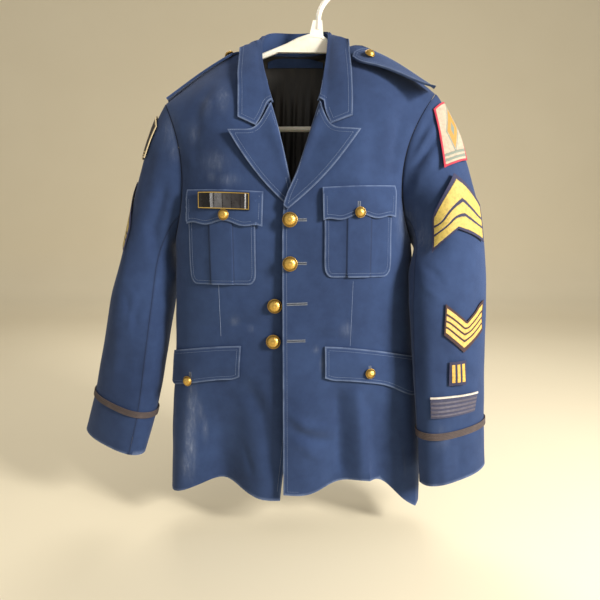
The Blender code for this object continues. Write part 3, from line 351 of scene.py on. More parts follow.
@dataclass(frozen=True)
class Satin:
    """Black lining with a soft brownish shine painted into its colour as streaks, and a fine weave."""

    name: str = "lining_black"
    dark: Colour = colour(15, 13, 12)
    sheen_brown: Colour = colour(46, 40, 34)

    def material(self) -> bpy.types.Material:
        """Builds the lining's nodes."""
        dye = Dye(self.name, 0.5)
        drift = dye.noise(1, 4, 0.6, dye.stretched((70, 70, 9)))
        thread = dye.noise(1, 2, 0.5, dye.stretched((900, 900, 120)))
        # painted sheen: brownish streaks in the colour stand for the satin's shine
        dye.drive("Base Color", dye.mix(drift.ramp(0.4, 0.75) * 0.8 + thread * 0.1, self.dark, self.sheen_brown))
        dye.drive("Roughness", 0.42 + thread * 0.2)
        dye.drive("Normal", dye.bump(thread * 0.5 + drift * 0.5, 0.0008, 0.4))
        dye.constant("Sheen Weight", 0.1)
        return dye.material


@dataclass(frozen=True)
class Braid:
    """Ribbed sleeve braid, brown with a grey thread."""

    name: str = "braid_brown"
    dark: Colour = colour(52, 44, 46)
    light: Colour = colour(102, 88, 86)
    ribs: int = 5

    def material(self) -> bpy.types.Material:
        """Builds the braid's nodes."""
        dye = Dye(self.name, 0.75)
        across = dye.attribute("across")
        along = dye.attribute("along")
        rib = across.wave(1 / self.ribs)
        twill = ((along * 900 + across * 9) * 2).sine()
        worn = dye.noise(60, 4, 0.6)
        shade = rib * 0.4 + twill * 0.25 + worn.ramp(0.4, 0.8) * 0.35
        dye.drive("Base Color", dye.mix(shade, self.dark, self.light))
        dye.drive("Normal", dye.bump(rib * 0.6 + twill * 0.4, 0.0007, 0.8))
        return dye.material


@dataclass(frozen=True)
class Thread:
    """Sewing or embroidery thread in one colour, with its twist."""

    name: str
    shade: Colour
    shine: float = 0.55

    def material(self) -> bpy.types.Material:
        """Builds the thread's nodes."""
        dye = Dye(self.name, self.shine)
        worn = dye.noise(300, 3, 0.6)
        dye.drive("Base Color", dye.mix(worn.ramp(0.3, 0.7), shaded(self.shade, 0.72), self.shade))
        dye.drive("Normal", dye.bump(dye.noise(2500, 1), 0.0002, 0.5))
        return dye.material


@dataclass(frozen=True)
class Embroidery:
    """A badge of dense satin stitch whose design reads the badge's own width and height.

    The mesh carries the share from its left side, the share from its top edge and the distance from its rim.
    """

    name: str
    ground: Colour
    thread: Colour
    border: float
    stripes: tuple[tuple[float, float], ...] = ()
    upright: tuple[tuple[float, float], ...] = ()
    slant: float = 0.0
    rows: float = 0.0009

    def material(self) -> bpy.types.Material:
        """Builds the badge's nodes."""
        dye = Dye(self.name, 0.62)
        across, down, rim = dye.attribute("across"), dye.attribute("down"), dye.attribute("rim")
        x, _, z = dye.axes()
        ragged = (dye.noise(420, 2) - 0.5) * 0.02
        cover = None
        for low, high in self.stripes:
            made = (down + ragged).band(low, high, 0.012)
            cover = made if cover is None else cover.most(made)
        for low, high in self.upright:
            made = (across + down * self.slant + ragged).band(low, high, 0.014)
            made = made * (down + ragged).band(0.12, 0.88, 0.02)
            cover = made if cover is None else cover.most(made)
        inside = (rim + ragged * 20).ramp(self.border - 0.25, self.border + 0.25)
        shape = cover * inside
        stitch = (z + x * 0.35).wave(self.rows)
        worn = dye.noise(200, 4, 0.65)
        gold = dye.mix(worn.ramp(0.28, 0.62) * 0.7 + stitch * 0.3, shaded(self.thread, 0.6), self.thread)
        fleck = dye.noise(700, 2).ramp(0.35, 0.75) * 0.6 + stitch * 0.2
        ground = dye.mix(fleck, self.ground, shaded(self.ground, 1.9))
        dye.drive("Base Color", dye.mix(shape, ground, gold))
        dye.drive("Roughness", 0.8 - shape * 0.3)
        raised = dye.bump(shape, 0.0009, 0.9)
        dye.drive("Normal", dye.bump(stitch * 0.6 + worn * 0.4, 0.0004, 0.7, raised))
        dye.constant("Sheen Weight", 0.1)
        return dye.material


@dataclass(frozen=True)
class Patch:
    """A sewn shoulder patch in a plain design of its own: border, field, lozenge and two bars."""

    name: str
    border: Colour
    field: Colour
    motif: Colour
    bars: Colour
    width: float = 3.0
    rows: float = 0.001

    def material(self) -> bpy.types.Material:
        """Builds the patch's nodes."""
        dye = Dye(self.name, 0.65)
        across, down, rim = dye.attribute("across"), dye.attribute("down"), dye.attribute("rim")
        x, _, z = dye.axes()
        ragged = (dye.noise(500, 2) - 0.5) * 0.03
        far = (across - 0.5).size() * 1.5 + (down - 0.44).size()
        lozenge = (far + ragged).ramp(0.33, 0.31)
        ring = (far + ragged).band(0.35, 0.4, 0.012)
        seed = (far + ragged).ramp(0.12, 0.1)
        bars = (down + ragged).band(0.80, 0.845, 0.008).most((down + ragged).band(0.885, 0.93, 0.008))
        stitch = (z * 0.9 + x * 0.5).wave(self.rows)
        worn = dye.noise(220, 4, 0.65)
        shade = dye.mix(worn.ramp(0.2, 0.7), shaded(self.field, 0.7), self.field)
        shade = dye.mix(ring.most(bars), shade, self.bars)
        shade = dye.mix(lozenge, shade, dye.mix(worn, shaded(self.motif, 0.6), self.motif))
        shade = dye.mix(seed, shade, self.bars)
        edge = (rim + ragged * 20).ramp(self.width + 0.2, self.width - 0.2)
        shade = dye.mix(edge, shade, dye.mix(stitch * 0.5, self.border, shaded(self.border, 0.6)))
        dye.drive("Base Color", shade)
        raised = dye.bump(edge.most(lozenge * 0.8).most(bars * 0.6), 0.0008, 0.9)
        dye.drive("Normal", dye.bump(stitch * 0.6 + worn * 0.4, 0.0004, 0.6, raised))
        return dye.material


@dataclass(frozen=True)
class Gilt:
    """Gilt metal, brighter on the relief and darker in its hollows."""

    name: str = "button_brass"
    bright: Colour = colour(246, 206, 112)
    dark: Colour = colour(120, 78, 26)

    def material(self) -> bpy.types.Material:
        """Builds the metal's nodes."""
        dye = Dye(self.name, 0.3, 1.0)
        relief = dye.attribute("relief")
        tarnish = dye.noise(260, 4, 0.6)
        dye.drive("Base Color", dye.mix((relief * 0.75 + tarnish * 0.3).least(1.0), self.dark, self.bright))
        dye.drive("Roughness", 0.42 - relief * 0.16 + tarnish * 0.1)
        dye.drive("Normal", dye.bump(tarnish, 0.0003, 0.35))
        return dye.material


@dataclass(frozen=True)
class Enamel:
    """Glossy black plate."""

    name: str = "plate_black"
    shade: Colour = colour(24, 18, 17)

    def material(self) -> bpy.types.Material:
        """Builds the plate's nodes."""
        dye = Dye(self.name, 0.24)
        dust = dye.noise(900, 3, 0.7)
        dye.drive("Base Color", dye.mix(dust.ramp(0.55, 0.9) * 0.3, self.shade, colour(86, 76, 70)))
        dye.drive("Roughness", 0.2 + dye.noise(120, 3) * 0.18)
        dye.drive("Normal", dye.bump(dust, 0.0001, 0.3))
        return dye.material


@dataclass(frozen=True)
class Plastic:
    """White moulded plastic, slightly yellowed and scuffed."""

    name: str = "hanger_white"
    clean: Colour = colour(238, 234, 222)
    aged: Colour = colour(214, 205, 182)

    def material(self) -> bpy.types.Material:
        """Builds the plastic's nodes."""
        dye = Dye(self.name, 0.38)
        age = dye.noise(14, 4, 0.6)
        scuff = dye.noise(1, 3, 0.6, dye.stretched((220, 220, 40)))
        yellowed = age.ramp(0.4, 0.75) * 0.7 + scuff.ramp(0.62, 0.8) * 0.3
        dye.drive("Base Color", dye.mix(yellowed, self.clean, self.aged))
        dye.drive("Roughness", 0.3 + scuff * 0.22)
        dye.drive("Normal", dye.bump(scuff * 0.5 + dye.noise(90, 3) * 0.5, 0.0004, 0.35))
        dye.constant("Subsurface Weight", 0.08)
        dye.constant("Subsurface Scale", 0.002)
        dye.constant("Coat Weight", 0.15)
        return dye.material


@dataclass(frozen=True)
class Studio:
    """Pale painted floor and backdrop."""

    name: str = "studio_cream"
    shade: Colour = colour(236, 225, 198)

    def material(self) -> bpy.types.Material:
        """Builds the backdrop's nodes."""
        dye = Dye(self.name, 0.8)
        cloud = dye.noise(2.2, 3)
        dye.drive("Base Color", dye.mix(cloud * 0.35, self.shade, colour(222, 209, 180)))
        dye.drive("Roughness", 0.75 + cloud * 0.1)
        return dye.material


# Mesh tools


def select_only(*objects: bpy.types.Object) -> None:
    """Selects these objects and makes the first one active."""
    for other in bpy.context.selected_objects:
        other.select_set(False)
    for made in objects:
        made.select_set(True)
    bpy.context.view_layer.objects.active = objects[0]


@contextmanager
def edit_mode(action: str | None = "SELECT") -> Iterator[None]:
    """Edit mode on the active object, with everything or nothing selected first where an action says so."""
    bpy.ops.object.mode_set(mode="EDIT")
    if action:
        bpy.ops.mesh.select_all(action=action)
    yield
    bpy.ops.object.mode_set(mode="OBJECT")


def points_of(piece: bpy.types.Object) -> np.ndarray:
    """A mesh's points in millimetres."""
    found = np.empty(len(piece.data.vertices) * 3)
    piece.data.vertices.foreach_get("co", found)
    return found.reshape(-1, 3) * MM_PER_M


def set_points(piece: bpy.types.Object, points: np.ndarray) -> None:
    """Puts a mesh's points at these places, in millimetres."""
    piece.data.vertices.foreach_set("co", (points * MM).ravel())
    piece.data.update()


def normals_of(piece: bpy.types.Object) -> np.ndarray:
    """A mesh's point normals."""
    found = np.empty(len(piece.data.vertices) * 3)
    piece.data.vertices.foreach_get("normal", found)
    return found.reshape(-1, 3)


def store(piece: bpy.types.Object, name: str, values: np.ndarray) -> None:
    """Keeps one number a point on the mesh, for its material."""
    made = piece.data.attributes.get(name) or piece.data.attributes.new(name, "FLOAT", "POINT")
    made.data.foreach_set("value", np.asarray(values, np.float32))


def apply_modifier(piece: bpy.types.Object, kind: str, name: str, **settings: object) -> None:
    """Adds a modifier with these settings and applies it."""
    select_only(piece)
    made = piece.modifiers.new(name, kind)
    for key, value in settings.items():
        setattr(made, key, value)
    bpy.ops.object.modifier_apply(modifier=made.name)


def smooth(piece: bpy.types.Object, degrees: float = 42.0) -> None:
    """Smooth shading that keeps edges sharper than this angle."""
    select_only(piece)
    bpy.ops.object.shade_smooth_by_angle(angle=math.radians(degrees))


def refined(node: str, name: str, level: int) -> bpy.types.Object:
    """A finer copy of a CAD cloth solid, with its rims kept.

    Args:
        node: the CAD node.
        name: the new piece's name.
        level: how often its faces are divided.

    Returns:
        The new piece.
    """
    piece = bpy.data.objects.new(name, frame["nodes"][node].data.copy())
    bpy.context.scene.collection.objects.link(piece)
    piece.data.materials.clear()
    select_only(piece)
    if piece.data.has_custom_normals:
        bpy.ops.mesh.customdata_custom_splitnormals_clear()
    with edit_mode():
        bpy.ops.mesh.remove_doubles(threshold=2e-5)
        bpy.ops.mesh.tris_convert_to_quads(face_threshold=math.radians(70), shape_threshold=math.radians(80))
    mesh = bmesh.new()
    mesh.from_mesh(piece.data)
    layer = mesh.edges.layers.float.get("crease_edge") or mesh.edges.layers.float.new("crease_edge")
    for edge in mesh.edges:
        edge.smooth = True
        if len(edge.link_faces) == 2 and edge.calc_face_angle(0.0) > SHARP:
            edge[layer] = 1.0
    mesh.to_mesh(piece.data)
    mesh.free()
    if level:
        apply_modifier(piece, "SUBSURF", "finer", levels=level, render_levels=level)
    smooth(piece)
    return piece


def tree_of(*pieces: bpy.types.Object) -> BVHTree:
    """A search tree over these pieces, in millimetres."""
    corners, faces, start = [], [], 0
    for piece in pieces:
        found = points_of(piece)
        corners.append(found)
        faces += [[start + v for v in face.vertices] for face in piece.data.polygons]
        start += len(found)
    return BVHTree.FromPolygons(np.vstack(corners).tolist(), faces)


def near_tree(points: Iterable[Sequence[float]]) -> KDTree:
    """A nearest-point tree."""
    listed = list(points)
    made = KDTree(len(listed))
    for index, point in enumerate(listed):
        made.insert(point, index)
    made.balance()
    return made


def distances(points: np.ndarray, tree: KDTree) -> np.ndarray:
    """How far each point is from the tree's nearest one."""
    return np.array([tree.find(p)[2] for p in points])


def seam_points(nodes: Sequence[str], around: BVHTree) -> list[np.ndarray]:
    """Points every few millimetres along the edges of these nodes that lie against others.

    Args:
        nodes: the CAD nodes.
        around: a tree over the nodes that they are sewn to.

    Returns:
        The points.
    """
    spacing = 3
    found = []
    for name in nodes:
        mesh = frame["nodes"][name].data
        points = points_of(frame["nodes"][name])
        near = [around.find_nearest(Vector(p), SEAM_REACH)[0] is not None for p in points]
        for edge in mesh.edges:
            a, b = edge.vertices
            if near[a] and near[b]:
                count = int(np.linalg.norm(points[a] - points[b]) / spacing) + 2
                found += list(points[a] + np.outer(np.linspace(0, 1, count), points[b] - points[a]))
    return found


def unit(rows: np.ndarray) -> np.ndarray:
    """Each row at length 1."""
    return rows / np.maximum(np.linalg.norm(rows, axis=-1, keepdims=True), 1e-9)


def step(values: np.ndarray, low: float, high: float) -> np.ndarray:
    """A smooth step from 0 at low to 1 at high."""
    share = np.clip((values - low) / (high - low), 0, 1)
    return share * share * (3 - 2 * share)


# Folds of the cloth


@dataclass(frozen=True)
class Crease:
    """One soft fold: the line of its crest or trough seen from the front, in millimetres."""

    line: tuple[tuple[float, float], ...]
    width: float
    height: float
    ends: float = 26.0

    def lift(self, x: np.ndarray, z: np.ndarray) -> np.ndarray:
        """How far the fold moves each point outwards."""
        best = np.full(len(x), 1e9)
        share = np.zeros(len(x))
        total = sum(math.dist(a, b) for a, b in zip(self.line, self.line[1:]))
        done = 0.0
        for a, b in zip(self.line, self.line[1:]):
            run = np.array(b) - np.array(a)
            size = float(np.hypot(*run))
            t = np.clip(((x - a[0]) * run[0] + (z - a[1]) * run[1]) / size**2, 0, 1)
            away = np.hypot(x - a[0] - t * run[0], z - a[1] - t * run[1])
            nearer = away < best
            best = np.where(nearer, away, best)
            share = np.where(nearer, done + t * size, share)
            done += size
        fade = step(share, -self.ends * 0.4, self.ends) * step(total - share, -self.ends * 0.4, self.ends)
        return self.height * np.exp(-((best / self.width) ** 2)) * fade


@dataclass
class Folds:
    """The folds of one tube of cloth, front and back, and where its cloth moves to."""

    front: tuple[Crease, ...]
    back: tuple[Crease, ...]
    sway: float
    seed: float

    def amount(self, points: np.ndarray, out: np.ndarray) -> np.ndarray:
        """How far each point moves outwards.

        Args:
            points: the points, in millimetres.
            out: the outward direction at each.

        Returns:
            The distances, in millimetres.
        """
        x, y, z = points.T
        ahead = step(-out[:, 1], -0.3, 0.35)
        behind = step(out[:, 1], -0.3, 0.35)
        lift = sum((c.lift(x, z) for c in self.front), np.zeros(len(x))) * ahead
        lift = lift + sum((c.lift(x, z) for c in self.back), np.zeros(len(x))) * behind
        s = self.seed
        wander = 1.7 * np.sin(z / 61 + s)
        lift += self.sway * np.sin(x / 19 + wander + y / 40 + s) * np.sin(z / 47 + x / 83 + 2 * s)
        lift += 0.6 * self.sway * np.sin((x - z) / 15 + s) * np.sin((x + z) / 33 + y / 21 + 3 * s)
        return lift


class Torso:
    """The body's folds and their outward direction."""

    def __init__(self, folds: Folds) -> None:
        """Keeps the folds."""
        self.folds = folds

    def outward(self, points: np.ndarray) -> np.ndarray:
        """The level direction away from the middle of the body."""
        x, y = points[:, 0] - BODY_MIDDLE[0], points[:, 1] - BODY_MIDDLE[1]
        return unit(np.column_stack([x, 2 * y, np.zeros(len(points))]))

    def move(self, points: np.ndarray, hold: np.ndarray | float = 1.0) -> np.ndarray:
        """The points with the folds in them.

        Args:
            points: places in millimetres.
            hold: 0 where the cloth is held still, 1 where it is free.

        Returns:
            The moved places.
        """
        out = self.outward(points)
        amount = self.folds.amount(points, out) * step(-points[:, 2], 130, 195) * hold
        return points + out * amount[:, None]


class Arm:
    """A sleeve's folds, which move the cloth away from the sleeve's own middle line."""

    def __init__(self, folds: Folds, cloud: np.ndarray) -> None:
        """Finds the middle line.

        Args:
            folds: the sleeve's folds.
            cloud: all points of the sleeve, in millimetres.
        """
        self.folds = folds
        heights = np.arange(cloud[:, 2].min() + 30, cloud[:, 2].max() - 40, 24.0)
        rows = [cloud[np.abs(cloud[:, 2] - h) < 20] for h in heights]
        self.heights = heights
        self.middle = np.array([(r.min(0) + r.max(0))[:2] / 2 for r in rows])

    def outward(self, points: np.ndarray) -> np.ndarray:
        """The level direction away from the sleeve's middle line."""
        mid = np.column_stack([np.interp(points[:, 2], self.heights, self.middle[:, i]) for i in (0, 1)])
        return unit(np.column_stack([points[:, :2] - mid, np.zeros(len(points))]))

    def axis(self, height: float) -> np.ndarray:
        """The way up the sleeve at this height."""
        low, high = (
            np.array([np.interp(height + d, self.heights, self.middle[:, i]) for i in (0, 1)] + [height + d])
            for d in (-40.0, 40.0)
        )
        return unit(high - low)

    def move(self, points: np.ndarray, hold: np.ndarray | float = 1.0) -> np.ndarray:
        """The points with the folds in them."""
        out = self.outward(points)
        return points + out * (self.folds.amount(points, out) * hold)[:, None]


BODY_FOLDS = Folds(
    front=(
        Crease(((-144, -178), (-189, -234)), 11, 1.5),
        Crease(((-162, -181), (-205, -244)), 10, -2.2),
        Crease(((-181, -209), (-199, -305)), 10, -1.8),
        Crease(((-195, -253), (-202, -320)), 8, 1.5),
        Crease(((104, -212), (106, -324)), 16, 1.5),
        Crease(((133, -228), (124, -284), (119, -332)), 13, -4.5),
        Crease(((80, -214), (85, -330)), 12, -1.2),
        Crease(((-202, -561), (-89, -548)), 9, -1.4),
        Crease(((-189, -531), (-99, -521)), 9, 1.2),
        Crease(((-48, -530), (-10, -533)), 6, -1.4),
        Crease(((-1, -563), (49, -554)), 8, 1.4),
        Crease(((-29, -560), (41, -573)), 8, -1.0),
        Crease(((-130, -616), (-177, -638)), 8, 1.2),
        Crease(((-119, -650), (-90, -705), (-76, -809)), 14, -4.0),
        Crease(((-210, -678), (-220, -815)), 11, 3.2),
        Crease(((-186, -679), (-194, -813)), 11, -2.6),
        Crease(((-154, -673), (-150, -801)), 14, 2.2),
        Crease(((-126, -754), (-107, -812)), 6, -1.8),
        Crease(((-29, -655), (-29, -825)), 15, 1.5),
        Crease(((-46, -694), (-21, -716), (27, -727)), 8, 3.4),
        Crease(((-43, -719), (-10, -739), (29, -749)), 8, -3.4),
        Crease(((-43, -742), (-21, -747), (0, -776)), 8, 2.6),
        Crease(((33, -655), (44, -808)), 11, -5.5),
        Crease(((59, -653), (68, -814)), 11, 4.5),
        Crease(((87, -664), (98, -815)), 13, -5.5),
        Crease(((124, -712), (144, -823)), 8, 3.2),
        Crease(((148, -740), (157, -829)), 8, -2.5),
    ),
    back=(
        Crease(((-150, -230), (-176, -340)), 16, -3.5),
        Crease(((-128, -220), (-140, -330)), 14, 2.0),
        Crease(((78, -226), (108, -338)), 16, -3.5),
        Crease(((58, -220), (70, -330)), 14, 2.0),
        Crease(((-170, -505), (-60, -540)), 12, -2.0),
        Crease(((-150, -535), (-70, -562)), 11, 1.8),
        Crease(((90, -500), (-10, -536)), 12, -2.0),
        Crease(((76, -535), (0, -560)), 11, 1.6),
        Crease(((-160, -620), (-172, -830)), 16, -4.0),
        Crease(((-110, -640), (-112, -830)), 16, 3.0),
        Crease(((-62, -680), (-66, -835)), 13, -3.2),
        Crease(((12, -650), (18, -835)), 15, 3.0),
        Crease(((64, -620), (78, -830)), 15, -4.2),
        Crease(((116, -660), (126, -830)), 12, 2.6),
    ),
    sway=0.55,
    seed=0.6,
)
SLEEVE_FOLDS = {
    Side.RIGHT: Folds(
        front=(
            Crease(((-238, -330), (-263, -398), (-261, -458)), 10, -6.0),
            Crease(((-236, -376), (-247, -455)), 6, 3.0),
            Crease(((-254, -465), (-237, -497)), 8, 4.0),
            Crease(((-262, -513), (-231, -519)), 6, -6.0),
            Crease(((-318, -501), (-295, -570)), 7, -1.8),
            Crease(((-288, -507), (-307, -577)), 7, -1.8),
            Crease(((-303, -517), (-310, -567)), 5, 1.6),
            Crease(((-329, -567), (-345, -658)), 10, 1.6),
            Crease(((-292, -587), (-303, -665)), 10, -1.6),
            Crease(((-237, -230), (-225, -312)), 8, 1.8),
            Crease(((-268, -270), (-279, -361)), 10, -1.6),
            Crease(((-307, -413), (-321, -488)), 10, 1.4),
            Crease(((-276, -554), (-261, -604)), 8, 1.8),
            Crease(((-286, -688), (-301, -750)), 8, -1.4),
        ),
        back=(
            Crease(((-236, -270), (-256, -350)), 12, -3.0),
            Crease(((-250, -470), (-306, -500)), 10, -3.0),
            Crease(((-254, -500), (-312, -536)), 9, 2.2),
            Crease(((-270, -545), (-318, -560)), 9, -2.4),
            Crease(((-300, -600), (-322, -690)), 11, 1.8),
        ),
        sway=0.6,
        seed=2.1,
    ),
    Side.LEFT: Folds(
        front=(
            Crease(((177, -216), (147, -278), (123, -318)), 8, -7.0),
            Crease(((181, -241), (156, -279), (130, -309)), 7, 5.0),
            Crease(((183, -264), (157, -295), (127, -319)), 6, -6.5),
            Crease(((184, -287), (155, -324), (138, -366)), 9, 3.0),
            Crease(((134, -369), (143, -514)), 8, -2.6),
            Crease(((157, -458), (190, -489)), 7, -1.8),
            Crease(((153, -485), (186, -515)), 6, 1.7),
            Crease(((242, -496), (265, -564)), 8, -1.6),
            Crease(((167, -558), (175, -661)), 9, 1.5),
            Crease(((192, -574), (205, -662)), 9, -1.2),
            Crease(((192, -721), (200, -806)), 8, 1.4),
            Crease(((217, -726), (225, -794)), 8, -1.5),
        ),
        back=(
            Crease(((170, -240), (190, -330)), 12, -3.0),
            Crease(((160, -450), (232, -490)), 10, -3.0),
            Crease(((170, -490), (240, -524)), 9, 2.2),
            Crease(((176, -530), (244, -556)), 9, -2.4),
            Crease(((200, -600), (214, -700)), 11, 1.8),
        ),
        sway=0.5,
        seed=4.4,
    ),
}


@dataclass(frozen=True)
class Mark:
    """A chalky smudge seen from the front: its middle, half sizes and strength."""

    x: float
    z: float
    wide: float
    tall: float
    strength: float = 0.6


MARKS = (
    Mark(-209, -695, 8, 40, 0.7),
    Mark(-215, -756, 8, 46, 0.9),
    Mark(-189, -735, 4, 18, 0.6),
    Mark(-221, -795, 9, 25, 0.6),
    Mark(-199, -703, 6, 22, 0.5),
    Mark(-159, -303, 15, 12, 0.5),
    Mark(-138, -330, 14, 7, 0.45),
    Mark(-163, -324, 6, 7, 0.45),
    Mark(-147, -205, 10, 18, 0.4),
    Mark(-173, -216, 9, 14, 0.35),
    Mark(-193, -256, 9, 13, 0.35),
    Mark(142, -398, 14, 26, 0.5),
    Mark(132, -387, 10, 18, 0.45),
    Mark(156, -418, 16, 22, 0.4),
    Mark(44, -560, 7, 9, 0.5),
    Mark(-4, -592, 4, 4, 0.6),
    Mark(6, -616, 3, 10, 0.5),
    Mark(-133, -548, 6, 6, 0.5),
    Mark(-107, -560, 4, 4, 0.4),
    Mark(-235, -247, 11, 22, 0.45),
    Mark(-227, -277, 8, 15, 0.4),
    Mark(191, -726, 10, 15, 0.4),
)


def smudges(points: np.ndarray, front: np.ndarray) -> np.ndarray:
    """How chalky each point is, 0 to 1."""
    total = np.zeros(len(points))
    for mark in MARKS:
        far = ((points[:, 0] - mark.x) / mark.wide) ** 2 + ((points[:, 2] - mark.z) / mark.tall) ** 2
        total = np.maximum(total, mark.strength * np.exp(-far))
    return total * front


# Rims and stitching


class Rim:
    """The edge of a cloth piece's outer face, as chains of points in order."""

    def __init__(self, piece: bpy.types.Object, outward: Callable[[np.ndarray], np.ndarray]) -> None:
        """Finds the chains.

        Args:
            piece: the finished cloth piece.
            outward: gives the outward direction at points in millimetres.
        """
        self.piece = piece
        mesh = bmesh.new()
        mesh.from_mesh(piece.data)
        mesh.faces.ensure_lookup_table()
        self.outer, self.inner = self.two_faces(mesh, outward)
        kept = []
        for edge in mesh.edges:
            sides = [f for f in edge.link_faces if f.index in self.outer]
            if len(sides) == 1:
                kept.append((edge.verts[0].index, edge.verts[1].index, tuple(sides[0].normal)))
        self.points = np.array([v.co for v in mesh.verts]) * MM_PER_M
        mesh.free()
        self.normal = {}
        joined: dict[int, list[int]] = {}
        for a, b, normal in kept:
            joined.setdefault(a, []).append(b)
            joined.setdefault(b, []).append(a)
            self.normal[a] = self.normal[b] = normal
        self.chains: list[list[int]] = []
        left = {frozenset((a, b)) for a, b, _ in kept}
        starts = sorted(joined, key=lambda v: len(joined[v]))
        for start in starts:
            while any(frozenset((start, other)) in left for other in joined[start]):
                chain = [start]
                while True:
                    here = chain[-1]
                    ahead = [v for v in joined[here] if frozenset((here, v)) in left]
                    if not ahead:
                        break
                    left.discard(frozenset((here, ahead[0])))
                    chain.append(ahead[0])
                if len(chain) > 4:
                    self.chains.append(chain)

    @staticmethod
    def two_faces(
        mesh: bmesh.types.BMesh, outward: Callable[[np.ndarray], np.ndarray]
    ) -> tuple[set[int], set[int]]:
        """The smooth stretches that look outwards most and inwards most, as face numbers."""
        centres = np.array([f.calc_center_median() for f in mesh.faces]) * MM_PER_M
        facing = np.einsum("ij,ij->i", np.array([f.normal for f in mesh.faces]), outward(centres))
        seen: set[int] = set()
        stretches: list[tuple[float, set[int]]] = []
        for first in mesh.faces:
            if first.index in seen:
                continue
            stretch, waiting, area = {first.index}, [first], 0.0
            while waiting:
                face = waiting.pop()
                area += face.calc_area() * facing[face.index]
                for edge in face.edges:
                    if edge.calc_face_angle(0.0) >= SHARP:
                        continue
                    for other in edge.link_faces:
                        if other.index not in stretch:
                            stretch.add(other.index)
                            waiting.append(other)
            seen |= stretch
            stretches.append((area, stretch))
        stretches.sort(key=lambda s: s[0])
        return stretches[-1][1], stretches[0][1]

    def tree(self) -> KDTree:
        """A nearest-point tree over the rim."""
        return near_tree(self.points[v] for chain in self.chains for v in chain)

    def sorted_from(self, others: Sequence[str]) -> tuple[KDTree | None, KDTree | None]:
        """Nearest-point trees over the free edges and over the seams.

        Args:
            others: the nodes that this piece may be sewn to.

        Returns:
            The two trees, or none where the piece has no such edge.
        """
        found = [self.points[v] for chain in self.chains for v in chain]
        if not others:
            return (near_tree(found) if found else None), None
        around = tree_of(*(frame["nodes"][n] for n in others))
        sewn = [around.find_nearest(Vector(p), SEAM_REACH)[0] is not None for p in found]
        free = [p for p, is_sewn in zip(found, sewn) if not is_sewn]
        seam = [p for p, is_sewn in zip(found, sewn) if is_sewn]
        return (near_tree(free) if free else None), (near_tree(seam) if seam else None)


